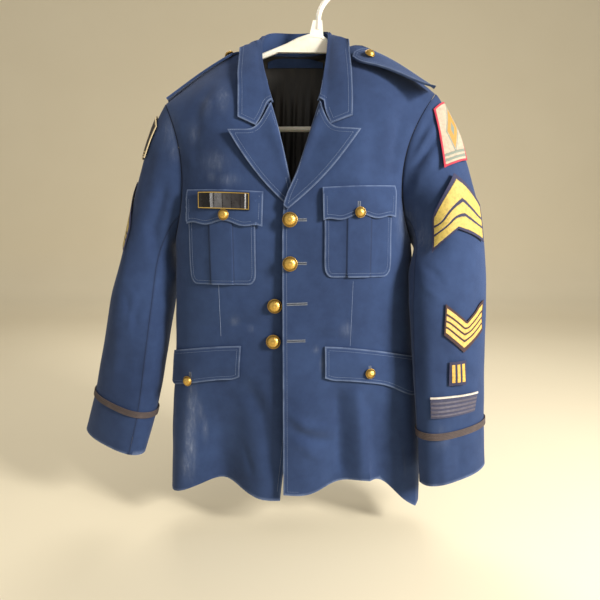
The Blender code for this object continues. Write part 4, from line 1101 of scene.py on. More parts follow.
@dataclass
class Seamstress:
    """Sews rows of short stitches a set way in from a piece's rim.

    A place is left out where it is off its row by more than the slack, a share of the inset, or where the
    cloth turns away from the rim. A line is parted where two places are more than a jump from each other.
    """

    pitch: float = 3.1
    length: float = 2.3
    thick: float = 0.62
    slack: float = 0.35
    least_facing: float = 0.2
    jump: float = 9.0

    def __post_init__(self) -> None:
        """Models one stitch, a short padded bar."""
        select_only(*bpy.context.scene.objects[:1])
        bpy.ops.mesh.primitive_cylinder_add(vertices=4, radius=0.5, depth=1.0, rotation=(0, math.pi / 2, 0))
        bar = bpy.context.active_object
        bpy.ops.object.transform_apply(location=True, rotation=True, scale=True)
        with edit_mode():
            bpy.ops.mesh.subdivide(number_cuts=1)
        self.corners = points_of(bar) / MM_PER_M
        ends = np.abs(self.corners[:, 0]) > 0.45
        self.corners[ends, 1:] *= 0.45
        self.faces = [tuple(f.vertices) for f in bar.data.polygons]
        bpy.data.objects.remove(bar)

    def paths(self, rim: Rim, inset: float, keep: Callable[[np.ndarray], bool]) -> list[list[tuple]]:
        """Lines at this inset.

        Args:
            rim: the piece's rim.
            inset: how far in, in millimetres.
            keep: says which rim points are sewn.

        Returns:
            Lists of places and normals.
        """
        surface = tree_of(rim.piece)
        edge = rim.tree()
        found: list[list[tuple]] = []
        for chain in rim.chains:
            line = rim.points[chain]
            run: list[tuple] = []
            for i, here in enumerate(line):
                ahead = line[min(i + 2, len(line) - 1)] - line[max(i - 2, 0)]
                if not keep(here) or np.linalg.norm(ahead) < 1e-6:
                    if len(run) > 2:
                        found.append(run)
                    run = []
                    continue
                along = unit(ahead)
                normal = np.array(rim.normal[chain[i]])
                inward = unit(np.cross(normal, along))
                spots = []
                for way in (1, -1):
                    spot, face, _, _ = surface.find_nearest(Vector(here + inward * way * inset))
                    if spot is not None:
                        gone = float(np.linalg.norm(np.array(spot) - here))
                        spots.append((abs(gone - inset), spot, face))
                error, spot, face = min(spots, key=lambda s: s[0])
                if error > self.slack * inset or edge.find(spot)[2] < inset * 0.9:
                    continue
                if float(np.dot(face, normal)) < self.least_facing:
                    continue
                run.append((np.array(spot), np.array(face)))
            if len(run) > 2:
                found.append(run)
        return found

    def bars(self, path: list[tuple]) -> list[tuple]:
        """Places stitches along a line, each with its direction and normal."""
        line = np.array([p for p, _ in path])
        gaps = np.linalg.norm(np.diff(line, axis=0), axis=1)
        cut = np.nonzero(gaps > self.jump)[0] + 1
        made = []
        for part, norms in zip(np.split(line, cut), np.split(np.array([n for _, n in path]), cut)):
            if len(part) < 2:
                continue
            run = np.concatenate([[0], np.cumsum(np.linalg.norm(np.diff(part, axis=0), axis=1))])
            for at in np.arange(self.pitch / 2, run[-1], self.pitch):
                here = np.array([np.interp(at, run, part[:, i]) for i in range(3)])
                ahead = np.array([np.interp(at + 1.0, run, part[:, i]) for i in range(3)])
                behind = np.array([np.interp(at - 1.0, run, part[:, i]) for i in range(3)])
                up = norms[min(int(np.searchsorted(run, at)), len(norms) - 1)]
                made.append((here, unit(ahead - behind), up))
        return made

    def sew(self, name: str, bars: list[tuple]) -> bpy.types.Object | None:
        """One mesh of all these stitches."""
        if not bars:
            return None
        corners, faces = [], []
        for here, along, up in bars:
            side = unit(np.cross(up, along))
            up = np.cross(along, side)
            start = len(corners) * len(self.corners)
            shape = self.corners * (self.length, self.thick, self.thick * 0.8)
            corners.append(here + up * 0.12 + shape @ np.array([along, side, up]))
            faces += [tuple(start + v for v in f) for f in self.faces]
        mesh = bpy.data.meshes.new(name)
        mesh.from_pydata((np.vstack(corners) * MM).tolist(), [], faces)
        piece = bpy.data.objects.new(name, mesh)
        bpy.context.scene.collection.objects.link(piece)
        smooth(piece, 60)
        return piece


# Sub-assemblies


@dataclass
class Wardrobe:
    """The finishes, made once and shared."""

    made: dict[str, bpy.types.Material] = field(default_factory=dict)

    def get(self, finish: object) -> bpy.types.Material:
        """The material of a finish."""
        name = finish.name
        if name not in self.made:
            self.made[name] = finish.material()
        return self.made[name]


SERGE, SATIN, BRAID, GILT, ENAMEL, PLASTIC = Serge(), Satin(), Braid(), Gilt(), Enamel(), Plastic()
STITCH = Thread("stitch_blue", colour(118, 135, 168), 0.6)
HOLE_THREAD = Thread("buttonhole_thread", colour(142, 148, 158), 0.6)
# near-black bars laid in the buttonhole slits as painted shade
SLIT_SHADE = Thread("buttonhole_slit_shade", colour(14, 18, 28), 0.9)
PIPING = Thread("piping_white", colour(226, 216, 204), 0.5)
NAVY, YELLOW = colour(36, 36, 66), colour(208, 182, 92)


@dataclass
class Tailor:
    """Shared work on every cloth piece: refining, folding and dressing it."""

    wardrobe: Wardrobe
    torso: Torso
    arms: dict[Side, Arm] = field(default_factory=dict)
    made: dict[str, bpy.types.Object] = field(default_factory=dict)
    still: KDTree | None = None

    def cloth(
        self,
        node: str,
        level: int,
        where: Torso | Arm,
        cut: tuple[float, float] | None,
        share: float,
        finish: object = SERGE,
        inside: object | None = None,
        slot: str = "jacket_blue",
    ) -> bpy.types.Object:
        """Makes one cloth piece from its CAD solid.

        Args:
            node: the CAD node it stands for.
            level: how often it is divided.
            where: the tube of cloth it belongs to.
            cut: the flat cut's width and length, in metres, or none for a cord; not used.
            share: the part of that rectangle that the cut fills; not used.
            finish: its outer finish.
            inside: the finish of its inner face, where that differs.
            slot: the record's material slot; not used.

        Returns:
            The piece.
        """
        piece = refined(node, f"{node}_cloth", level)
        points = points_of(piece)
        hold: np.ndarray | float = 1.0
        if self.still is not None:
            hold = step(distances(points, self.still), HELD_TO, FREE_FROM)
        points = where.move(points, hold)
        set_points(piece, points)
        rim = Rim(piece, where.outward)
        points = self.walled(piece, rim)
        free, sewn = rim.sorted_from([n for n in SEWN_TOGETHER if n != node] if node in SEWN_TOGETHER else [])
        near = distances(points, free) if free else np.full(len(points), NOWHERE)
        by_seam = distances(points, sewn) if sewn else np.full(len(points), NOWHERE)
        facing = np.einsum("ij,ij->i", normals_of(piece), where.outward(points))
        outer = step(facing, -0.2, 0.3)
        store(piece, "edge", np.clip(1 - near / EDGE_WIDTH, 0, 1) ** 1.5 * outer)
        # painted shade: how much the outer face is darkened along its sewn edges
        store(piece, "seam", np.clip(1 - by_seam / SEAM_SHADE_WIDTH, 0, 1) * outer)
        store(piece, "marks", smudges(points, step(-normals_of(piece)[:, 1], 0.0, 0.4)))
        piece.data.materials.append(self.wardrobe.get(finish))
        if inside is not None:
            piece.data.materials.append(self.wardrobe.get(inside))
            turned = np.array([p.index in rim.inner for p in piece.data.polygons])
            piece.data.polygons.foreach_set("material_index", turned.astype(np.int32))
        self.finish(piece, node, slot)
        if cut is not None:
            cut[0] * cut[1] * share
        self.made[node] = piece
        log.info("%s: %d faces", piece.name, len(piece.data.polygons))
        return piece

    @staticmethod
    def walled(piece: bpy.types.Object, rim: Rim) -> np.ndarray:
        """Keeps the inner face under the outer one where a deep fold would press them together.

        Args:
            piece: the cloth piece.
            rim: its rim and faces.

        Returns:
            The piece's points, in millimetres.
        """
        points, polygons = points_of(piece), piece.data.polygons
        outer = BVHTree.FromPolygons(points.tolist(), [tuple(polygons[i].vertices) for i in rim.outer])
        for v in {v for i in rim.inner for v in polygons[i].vertices}:
            spot, face, _, _ = outer.find_nearest(Vector(points[v]))
            depth = float(np.dot(points[v] - np.array(spot), np.array(face)))
            if depth > -LEAST_WALL:
                points[v] -= np.array(face) * (LEAST_WALL + depth)
        set_points(piece, points)
        return points

    def finish(self, piece: bpy.types.Object, node: str | None, slot: str) -> None:
        """Hides the node that a piece stands for, and fixes the piece to the jacket."""
        if node:
            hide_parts(node)
        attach(piece, "root")

    def seat(
        self,
        piece: bpy.types.Object,
        carriers: Sequence[bpy.types.Object],
        gap: float = 0.35,
        thick: float = 1.2,
    ) -> None:
        """Lifts the parts of a laid-on piece that dip into what carries it.

        Args:
            piece: the laid-on piece.
            carriers: the pieces under it.
            gap: the least clearance under it, in millimetres.
            thick: the least height of its outer face over that.
        """
        under = tree_of(*carriers)
        points, normals = points_of(piece), normals_of(piece)
        for i, here in enumerate(points):
            spot, face, _, _ = under.find_nearest(Vector(here), DIP_REACH)
            if spot is None:
                continue
            up = np.array(face)
            height = float(np.dot(here - np.array(spot), up))
            need = gap + (thick if float(np.dot(normals[i], up)) > 0 else 0.0)
            if -DIP_DEPTH < height < need:
                points[i] = here + up * (need - height)
        set_points(piece, points)


@dataclass
class Body:
    """The two fronts and the two halves of the back."""

    fronts: tuple[float, float] = (0.30, 0.77)
    backs: tuple[float, float] = (0.27, 0.77)

    def build(self, tailor: Tailor) -> None:
        """Makes the four panels."""
        for side in Side:
            tailor.cloth(f"front_{side.value}", 3, tailor.torso, self.fronts, 0.72, inside=SATIN)
            tailor.cloth(f"back_{side.value}", 2, tailor.torso, self.backs, 0.78, inside=SATIN)


@dataclass
class Sleeves:
    """The two-piece sleeves."""

    upper: tuple[float, float] = (0.23, 0.64)
    under: tuple[float, float] = (0.18, 0.56)

    def build(self, tailor: Tailor) -> None:
        """Makes the four sleeve pieces."""
        for side in Side:
            names = (f"upper_sleeve_{side.value}", f"under_sleeve_{side.value}")
            cloud = np.vstack([points_of(frame["nodes"][n]) for n in names])
            tailor.arms[side] = Arm(SLEEVE_FOLDS[side], cloud)
            tailor.cloth(names[0], 3, tailor.arms[side], self.upper, 0.67, inside=SATIN)
            tailor.cloth(names[1], 2, tailor.arms[side], self.under, 0.68, inside=SATIN)


@dataclass
class Neck:
    """Collar, lapels, neck facing and lining.

    Each pleat of the lining is its place across at the pleats' height, its width and how far it stands out.
    The pleats lean a little, and come up between two distances below the origin.
    """

    pleats: tuple[tuple[float, float, float], ...] = (
        (-72, 5, 2.4),
        (-57, 4, 3.6),
        (-38, 4, 3.4),
        (-26, 5, 2.0),
        (-12, 5, 2.6),
    )
    height: float = -170
    lean: float = 0.03
    start: float = 150
    full: float = 195

    def build(self, tailor: Tailor) -> None:
        """Makes the pieces round the neck."""
        tailor.cloth("collar", 3, tailor.torso, (0.44, 0.12), 0.62)
        for side in Side:
            tailor.cloth(f"lapel_{side.value}", 3, tailor.torso, (0.09, 0.19), 0.43)
        tailor.cloth("neck_facing", 2, tailor.torso, (0.096, 0.0165), 0.87)
        lining = tailor.cloth(
            "back_lining", 3, tailor.torso, (0.32, 0.32), 0.81, finish=SATIN, slot="lining_black"
        )
        points = points_of(lining)
        pull = step(-points[:, 2], self.start, self.full)
        for x, width, rise in self.pleats:
            middle = x + (points[:, 2] - self.height) * self.lean
            points[:, 1] -= np.exp(-(((points[:, 0] - middle) / width) ** 2)) * rise * pull
        set_points(lining, points)


@dataclass
class Straps:
    """The shoulder straps."""

    cut: tuple[float, float] = (0.052, 0.15)

    def build(self, tailor: Tailor) -> None:
        """Makes both straps."""
        for side in Side:
            tailor.cloth(f"shoulder_strap_{side.value}", 3, tailor.torso, self.cut, 0.82)


@dataclass
class Pockets:
    """Chest pockets with pleats, their flaps, and the skirt flaps.

    A pleat has half a width and a rise in millimetres, a soft step, and a shadow of some strength beside it.
    """

    pouch: tuple[float, float] = (0.14, 0.14)
    flap: tuple[float, float] = (0.125, 0.06)
    skirt: tuple[float, float] = (0.16, 0.07)
    half: float = 18.2
    rise: float = 1.1
    soft: float = 0.4
    shade: float = 1.4
    shade_off: float = 0.7
    shade_width: float = 1.1

    def build(self, tailor: Tailor) -> None:
        """Makes the pockets and flaps and seats them on the fronts."""
        for side in Side:
            carrier = tailor.made[f"front_{side.value}"]
            pouch = tailor.cloth(f"chest_pocket_{side.value}", 3, tailor.torso, self.pouch, 0.77)
            self.pleat(pouch)
            tailor.seat(pouch, [carrier])
            flap = tailor.cloth(f"chest_flap_{side.value}", 3, tailor.torso, self.flap, 0.86)
            tailor.seat(flap, [carrier, pouch])
            skirt = tailor.cloth(f"skirt_flap_{side.value}", 3, tailor.torso, self.skirt, 0.8)
            tailor.seat(skirt, [carrier, tailor.made[f"back_{side.value}"]])

    def pleat(self, pouch: bpy.types.Object) -> None:
        """Raises the box pleat down a pouch's middle and paints shade along its two folds."""
        points = points_of(pouch)
        middle = (points[:, 0].min() + points[:, 0].max()) / 2
        off = np.abs(points[:, 0] - middle)
        points[:, 1] -= self.rise * (1 - step(off, self.half - self.soft, self.half + self.soft))
        set_points(pouch, points)
        beside = (off - self.half - self.shade_off) / self.shade_width
        # painted shadow beside the pleat's two folds, kept where the seam shade goes
        store(pouch, "seam", self.shade * np.exp(-(beside**2)))


class Badge:
    """A sewn badge, with its own width and height as numbers on its points."""

    def __init__(
        self, node: str, finish: object, cut: tuple[float, float], share: float, slot: str, peak: bool = False
    ) -> None:
        """Keeps what the badge is made of.

        Args:
            node: its CAD node.
            finish: its embroidery.
            cut: its flat size in metres.
            share: the part of that rectangle it fills.
            slot: the record's material slot.
            peak: whether its top rises to one peak, as on a chevron that points up.
        """
        self.node, self.finish, self.cut, self.share = node, finish, cut, share
        self.slot, self.peak = slot, peak

    def build(self, tailor: Tailor, side: Side) -> None:
        """Makes the badge, seats it on the sleeve and measures it.

        Args:
            tailor: the shared work.
            side: the sleeve it is on.
        """
        arm = tailor.arms[side]
        piece = tailor.cloth(self.node, 3, arm, self.cut, self.share, finish=self.finish, slot=self.slot)
        tailor.seat(piece, [tailor.made[f"upper_sleeve_{side.value}"]], 0.3, 0.8)
        rim = Rim(piece, arm.outward)
        points = points_of(piece)
        ring = rim.points[max(rim.chains, key=len)]
        if np.linalg.norm(ring[0] - ring[-1]) < 1e-3:
            ring = ring[:-1]
        middle = ring.mean(0)
        out = unit(np.array(list(rim.normal.values())).mean(0))
        axis = arm.axis(middle[2])
        up_way = unit(axis - (axis @ out) * out)
        find = self.peaked if self.peak else self.corners
        low_left, high_left, low_right, high_right = find(ring, np.cross(up_way, out), up_way)
        left_side = self.span(ring, low_left, high_left, low_right)
        right_side = self.span(ring, low_right, high_right, low_left)
        top = self.span(ring, high_left, high_right, low_left)
        bottom = self.span(ring, low_left, low_right, high_left)
        away = [distances(points, near_tree(self.dense(s))) for s in (left_side, right_side, top, bottom)]
        store(piece, "across", away[0] / np.maximum(away[0] + away[1], 1e-6))
        store(piece, "down", away[2] / np.maximum(away[2] + away[3], 1e-6))
        store(piece, "rim", np.minimum.reduce(away))

    @staticmethod
    def dense(line: np.ndarray) -> np.ndarray:
        """A line with points every half millimetre."""
        run = np.concatenate([[0], np.cumsum(np.linalg.norm(np.diff(line, axis=0), axis=1))])
        at = np.arange(0, run[-1], 0.5)
        return np.column_stack([np.interp(at, run, line[:, i]) for i in range(3)])

    @staticmethod
    def corners(ring: np.ndarray, side_way: np.ndarray, up_way: np.ndarray) -> tuple[int, int, int, int]:
        """The four outer corners of a closed line.

        Args:
            ring: its points.
            side_way: the direction across it.
            up_way: the direction up it.

        Returns:
            The lower left, upper left, lower right and upper right corner.
        """
        count = len(ring)
        ahead = unit(np.roll(ring, -CORNER_REACH, axis=0) - ring)
        behind = unit(ring - np.roll(ring, CORNER_REACH, axis=0))
        turn = np.arccos(np.clip(np.einsum("ij,ij->i", ahead, behind), -1, 1))
        found: list[int] = []
        for i in np.argsort(-turn):
            if turn[i] < CORNER_TURN or len(found) == MOST_CORNERS:
                break
            if all(min(abs(i - j), count - abs(i - j)) > 2 * CORNER_REACH for j in found):
                found.append(int(i))
        flat, high = (ring - ring.mean(0)) @ side_way, (ring - ring.mean(0)) @ up_way
        outer = sorted(sorted(found, key=lambda i: -abs(flat[i]))[:4], key=lambda i: flat[i])
        left, right = sorted(outer[:2], key=lambda i: high[i]), sorted(outer[2:], key=lambda i: high[i])
        return left[0], left[1], right[0], right[1]

    @staticmethod
    def peaked(ring: np.ndarray, side_way: np.ndarray, up_way: np.ndarray) -> tuple[int, int, int, int]:
        """The four outer corners of a chevron that points up, in the same order.

        Args:
            ring: the points of its outline.
            side_way: the direction across it.
            up_way: the direction up it.

        Returns:
            The lower left, upper left, lower right and upper right corner.
        """
        flat, high = (ring - ring.mean(0)) @ side_way, (ring - ring.mean(0)) @ up_way
        top = int(np.argmax(high))
        low_left, low_right = int(np.argmin(flat + high)), int(np.argmax(flat - high))
        shoulders = []
        for low, other in ((low_left, low_right), (low_right, low_left)):
            stretch = Badge.between(len(ring), top, low, other)
            chord = unit(ring[low] - ring[top])
            off = ring[stretch] - ring[top]
            bulge = np.linalg.norm(off - (off @ chord)[:, None] * chord, axis=1)
            shoulders.append(stretch[int(np.argmax(bulge))])
        return low_left, shoulders[0], low_right, shoulders[1]

    @staticmethod
    def between(count: int, start: int, end: int, other: int) -> list[int]:
        """The numbers along a closed line from one corner to another that miss a third."""
        forward = [(start + i) % count for i in range((end - start) % count + 1)]
        if other in forward:
            forward = [(end + i) % count for i in range((start - end) % count + 1)]
        return forward

    @staticmethod
    def span(ring: np.ndarray, start: int, end: int, other: int) -> np.ndarray:
        """The stretch of a closed line from one corner to another that misses a third."""
        return ring[Badge.between(len(ring), start, end, other)]


@dataclass
class Insignia:
    """Badges, bands and braid on the sleeves."""

    braid_width: float = 12.0
    cuff_radius: float = 0.055
    chevrons: Embroidery = Embroidery(
        "badge_chevrons", NAVY, YELLOW, 2.6, stripes=((0.085, 0.375), (0.44, 0.62), (0.68, 0.93))
    )
    service: Embroidery = Embroidery(
        "badge_service",
        colour(52, 32, 34),
        colour(226, 186, 92),
        2.2,
        stripes=((0.09, 0.245), (0.315, 0.45), (0.52, 0.66), (0.73, 0.88)),
    )
    bars: Embroidery = Embroidery(
        "badge_bars",
        NAVY,
        colour(232, 184, 70),
        1.0,
        upright=((0.12, 0.30), (0.42, 0.60), (0.72, 0.90)),
        slant=-0.06,
    )
    band: Embroidery = Embroidery(
        "badge_band",
        colour(52, 54, 78),
        colour(88, 84, 104),
        0.8,
        stripes=((0.16, 0.27), (0.38, 0.5), (0.6, 0.72), (0.82, 0.92)),
    )
    patch_left: Patch = Patch(
        "badge_patch_red",
        colour(186, 44, 66),
        colour(186, 170, 148),
        colour(196, 146, 62),
        colour(120, 128, 116),
    )
    patch_right: Patch = Patch(
        "badge_patch_gold",
        colour(222, 202, 160),
        colour(46, 38, 36),
        colour(222, 190, 128),
        colour(196, 168, 108),
        2.6,
    )

    def build(self, tailor: Tailor) -> None:
        """Makes every badge."""
        left, right = Side.LEFT, Side.RIGHT
        for name, side, finish, cut, share, slot in (
            ("arm_chevron_left", left, self.chevrons, (0.1, 0.126), 0.52, "badge_navy"),
            ("arm_chevron_right", right, self.chevrons, (0.1, 0.126), 0.52, "badge_navy"),
            ("shoulder_patch_left", left, self.patch_left, (0.06, 0.086), 0.9, "badge_red"),
            ("shoulder_patch_right", right, self.patch_right, (0.058, 0.075), 0.89, "badge_navy"),
            ("service_chevron_left", left, self.service, (0.072, 0.079), 0.64, "badge_navy"),
            ("service_bars_left", left, self.bars, (0.03, 0.038), 0.95, "badge_navy"),
            ("cuff_band_left", left, self.band, (0.077, 0.033), 0.94, "badge_navy"),
        ):
            Badge(name, finish, cut, share, slot, peak=finish is self.chevrons).build(tailor, side)
        for side in Side:
            self.braid(tailor, side)
        tailor.cloth("band_piping_left", 2, tailor.arms[left], None, 1.0, finish=PIPING, slot="piping_white")

    def braid(self, tailor: Tailor, side: Side) -> None:
        """The braid round one cuff, with its ribs along it.

        Args:
            tailor: the shared work.
            side: the sleeve it is on.
        """
        arm, cut = tailor.arms[side], (0.34, 0.0125)
        piece = tailor.cloth(f"cuff_braid_{side.value}", 2, arm, cut, 0.87, finish=BRAID, slot="braid_brown")
        points = points_of(piece)
        rim = Rim(piece, arm.outward)
        line = np.vstack([rim.points[c] for c in rim.chains]) if rim.chains else points
        away = distances(points, near_tree(line))
        out = arm.outward(points)
        store(piece, "across", np.clip(away / self.braid_width, 0, 1))
        store(piece, "along", np.arctan2(out[:, 1], out[:, 0]) * self.cuff_radius)


class GiltButton:
    """A domed gilt button with a rope rim and a plain sunburst round a boss.

    The rim's and the rope's radius, and the heights, are shares of the CAD button's.
    """

    rim, rope = 0.93, 0.07
    rays, petals, twists = 16, 8, 24
    seat, dome, rope_seat = 0.25, 0.66, 0.3
    relief, swell = 0.3, 0.22

    def __init__(self, node: str) -> None:
        """Measures the CAD button: its middle, axis, radius and height."""
        self.node = node
        points = points_of(frame["nodes"][node])
        self.middle = (points.min(0) + points.max(0)) / 2
        _, _, axes = np.linalg.svd(points - points.mean(0), full_matrices=False)
        self.axis = axes[2]
        _, ahead, up = self.axis
        if ahead > 0.3 or abs(ahead) <= 0.3 and up < 0:
            self.axis = -self.axis
        along = (points - self.middle) @ self.axis
        self.low, self.high = float(along.min()), float(along.max())
        flat = (points - self.middle) - along[:, None] * self.axis
        self.radius = float(np.linalg.norm(flat, axis=1).max())

    def build(self, tailor: Tailor, move: Callable[[np.ndarray], np.ndarray]) -> bpy.types.Object:
        """Models the button and puts it in its place.

        Args:
            tailor: the shared work.
            move: the folds of the cloth it is sewn to.

        Returns:
            The button.
        """
        radius, height = self.radius * self.rim, self.high - self.low
        select_only(*bpy.context.scene.objects[:1])
        bpy.ops.mesh.primitive_uv_sphere_add(segments=64, ring_count=36, radius=1.0)
        dome = bpy.context.active_object
        with edit_mode():
            bpy.ops.mesh.bisect(plane_co=(0, 0, -0.12), plane_no=(0, 0, 1), clear_inner=True, use_fill=True)
        points = points_of(dome) / MM_PER_M
        across = np.hypot(points[:, 0], points[:, 1])
        angle = np.arctan2(points[:, 1], points[:, 0])
        ray = 0.5 + 0.5 * np.cos(angle * self.rays)
        burst = ray * step(across, 0.26, 0.34) * step(-across, -0.8, -0.7)
        boss = step(-across, -0.27, -0.2) * (0.75 + 0.25 * np.cos(angle * self.petals))
        relief = np.where(points[:, 2] > 0, np.maximum(burst, boss), 0.0)
        points[:, :2] *= radius
        rise = height * self.seat + points[:, 2] * height * self.dome + relief * self.relief
        points[:, 2] = self.low + rise
        set_points(dome, points)
        store(dome, "relief", 0.35 + 0.65 * relief)
        thin = self.radius * self.rope * MM
        bpy.ops.mesh.primitive_torus_add(
            major_segments=72, minor_segments=8, major_radius=radius * MM, minor_radius=thin
        )
        rope = bpy.context.active_object
        ring = points_of(rope)
        turn = np.arctan2(ring[:, 1], ring[:, 0])
        core = np.column_stack([np.cos(turn), np.sin(turn), np.zeros(len(turn))]) * radius
        tilt = np.arctan2(ring[:, 2], np.hypot(ring[:, 0], ring[:, 1]) - radius)
        strand = np.cos(turn * self.twists + tilt)
        ring = core + (ring - core) * (1 + self.swell * strand)[:, None]
        ring[:, 2] += self.low + height * self.rope_seat
        set_points(rope, ring)
        store(rope, "relief", np.clip(0.5 + 0.4 * strand, 0, 1))
        select_only(dome, rope)
        bpy.ops.object.join()
        dome = bpy.context.active_object
        dome.name = f"{self.node}_gilt"
        centre = move(self.middle[None])[0]
        up = Vector(self.axis).to_track_quat("Z", "Y").to_matrix()
        set_points(dome, points_of(dome) @ np.array(up).T + centre)
        dome.data.materials.clear()
        dome.data.materials.append(tailor.wardrobe.get(GILT))
        smooth(dome, 50)
        tailor.finish(dome, self.node, "button_brass")
        return dome


@dataclass
class Buttons:
    """All ten buttons."""

    fronts: int = 4

    def build(self, tailor: Tailor) -> None:
        """Makes every button."""
        for number in range(1, self.fronts + 1):
            GiltButton(f"front_button_{number}").build(tailor, tailor.torso.move)
        for side in Side:
            for kind in ("chest", "skirt", "strap"):
                GiltButton(f"{kind}_button_{side.value}").build(tailor, tailor.torso.move)


@dataclass(frozen=True)
class Buttonhole:
    """A worked buttonhole: its middle and length seen from the front, and its slope in degrees."""

    carrier: str
    x: float
    z: float
    length: float
    degrees: float
    gape: float = 1.364


HOLES = (
    Buttonhole("front_left", -33.0, -391.0, 28, 0),
    Buttonhole("front_left", -33.0, -456.5, 28, 0),
    Buttonhole("front_left", -33.5, -519.0, 31, 2),
    Buttonhole("front_left", -35.0, -577.0, 28, 1),
    Buttonhole("chest_flap_left", 59.5, -373.0, 18, 90),
    Buttonhole("skirt_flap_left", 82.0, -628.0, 18, 90),
    Buttonhole("skirt_flap_right", -210.0, -645.0, 18, 90),
)


def everywhere(_: np.ndarray) -> bool:
    """Sews every rim point."""
    return True


def level_with(way: np.ndarray, normal: np.ndarray) -> np.ndarray:
    """A direction laid flat on the cloth."""
    return unit(way - normal * float(np.dot(way, normal)))


@dataclass
class Needlework:
    """Stitch rows, buttonholes and darts.

    In millimetres: the stitches of the collar lie in front of a depth, and those of a chest flap and a pouch
    below a height. Those of a front's edge lie between two heights, near a middle and in front of a depth. The
    middle of the wearer's right edge is further over by the overlap.
    """

    sewer: Seamstress = field(default_factory=Seamstress)
    collar_depth: float = 12
    flap_top: float = -352
    pouch_top: float = -380
    edge_top: float = -372
    edge_foot: float = -838
    edge_middle: float = -56
    edge_reach: float = 26
    edge_depth: float = -40
    overlap: float = 6

    def build(self, tailor: Tailor) -> None:
        """Sews every row."""
        self.rows(tailor, "collar", (1.6, 6.5), lambda p: p[1] < self.collar_depth)
        for side in Side:
            name = side.value
            self.rows(tailor, f"lapel_{name}", (1.4, 6.5), everywhere)
            self.rows(tailor, f"shoulder_strap_{name}", (1.6, 6.0), everywhere)
            self.rows(tailor, f"chest_flap_{name}", (1.6, 6.0), lambda p: p[2] < self.flap_top)
            self.rows(tailor, f"chest_pocket_{name}", (1.6, 6.0), lambda p: p[2] < self.pouch_top)
            self.rows(tailor, f"skirt_flap_{name}", (1.6, 6.0), everywhere)
            self.rows(tailor, f"front_{name}", (1.6, 6.5), self.front_edge(side))
        self.holes(tailor)
        self.darts(tailor)

    def front_edge(self, side: Side) -> Callable[[np.ndarray], bool]:
        """Says which rim points are on one front's edge, under its lapel and above its hem."""
        middle = self.edge_middle - (self.overlap if side is Side.RIGHT else 0)
        return lambda p: (
            abs(p[0] - middle) < self.edge_reach
            and self.edge_foot < p[2] < self.edge_top
            and p[1] < self.edge_depth
        )

    def rows(
        self, tailor: Tailor, node: str, insets: tuple[float, ...], keep: Callable[[np.ndarray], bool]
    ) -> None:
        """Sews one piece's edge.

        Args:
            tailor: the shared work.
            node: the piece.
            insets: how far in from the edge each row is, in millimetres.
            keep: says which rim points are sewn.
        """
        rim = Rim(tailor.made[node], tailor.torso.outward)
        paths = [path for inset in insets for path in self.sewer.paths(rim, inset, keep)]
        bars = [bar for path in paths for bar in self.sewer.bars(path)]
        self.place(tailor, self.sewer, f"{node}_stitches", bars, STITCH)

    def place(self, tailor: Tailor, worker: Seamstress, name: str, bars: list[tuple], finish: Thread) -> None:
        """Makes one mesh of stitches and fixes it to the jacket.

        Args:
            tailor: the shared work.
            worker: makes the stitches, in its own length and thickness.
            name: the mesh's name.
            bars: where the stitches are.
            finish: their thread.
        """
        piece = worker.sew(name, bars)
        if piece is None:
            log.warning("%s: no stitches", name)
            return
        piece.data.materials.append(tailor.wardrobe.get(finish))
        tailor.finish(piece, None, "jacket_blue")
        log.info("%s: %d stitches", name, len(bars))

    @staticmethod
    def drop(surface: BVHTree, place: np.ndarray) -> tuple[np.ndarray, np.ndarray] | None:
        """The point of the front that is seen at this place, and its normal."""
        spot, face, _, _ = surface.ray_cast(Vector((place[0], -400.0, place[1])), Vector((0.0, 1.0, 0.0)))
        return None if spot is None else (np.array(spot), np.array(face))

    def holes(self, tailor: Tailor) -> None:
        """Works the buttonholes: dark bars of painted shade down each slit, with close stitches across its
        lips.
        """
        slit_shades, lips = [], []
        trees: dict[str, BVHTree] = {}
        for hole in HOLES:
            if hole.carrier not in trees:
                trees[hole.carrier] = tree_of(tailor.made[hole.carrier])
            surface = trees[hole.carrier]
            turn = math.radians(hole.degrees)
            middle = np.array([hole.x, hole.z])
            along = np.array([math.cos(turn), math.sin(turn)])
            side = np.array([-math.sin(turn), math.cos(turn)])
            half = hole.length / 2
            for at in np.arange(-half, half + 0.01, 1.0):
                for row in (-1, 1):
                    found = self.drop(surface, middle + along * at + side * row * hole.gape)
                    if found:
                        way = level_with(np.array([side[0], 0.0, side[1]]), found[1])
                        lips.append((found[0], way, found[1]))
            # dark bars along the slit paint the shade inside the cut
            for at in np.arange(-half + 1, half - 0.5, 1.6):
                found = self.drop(surface, middle + along * at)
                if found:
                    way = level_with(np.array([along[0], 0.0, along[1]]), found[1])
                    slit_shades.append((found[0] + found[1] * 0.05, way, found[1]))
        self.place(tailor, Seamstress(length=1.9, thick=0.75), "buttonhole_lips", lips, HOLE_THREAD)
        self.place(tailor, Seamstress(length=2.6, thick=1.1), "buttonhole_slit_shades", slit_shades, SLIT_SHADE)

    def darts(self, tailor: Tailor) -> None:
        """The waist darts below the chest pockets."""
        bars = []
        for carrier, start, end in (
            ("front_left", (53, -485), (50, -585)),
            ("front_right", (-157, -492), (-156, -572)),
        ):
            surface = tree_of(tailor.made[carrier])
            for share in np.linspace(0, 1, 46):
                found = self.drop(surface, np.array(start) + (np.array(end) - np.array(start)) * share)
                if found:
                    bars.append((found[0] - found[1] * 0.1, np.array([0.0, 0.0, -1.0]), found[1]))
        self.place(tailor, Seamstress(length=2.7, thick=0.8), "dart_lines", bars, STITCH)


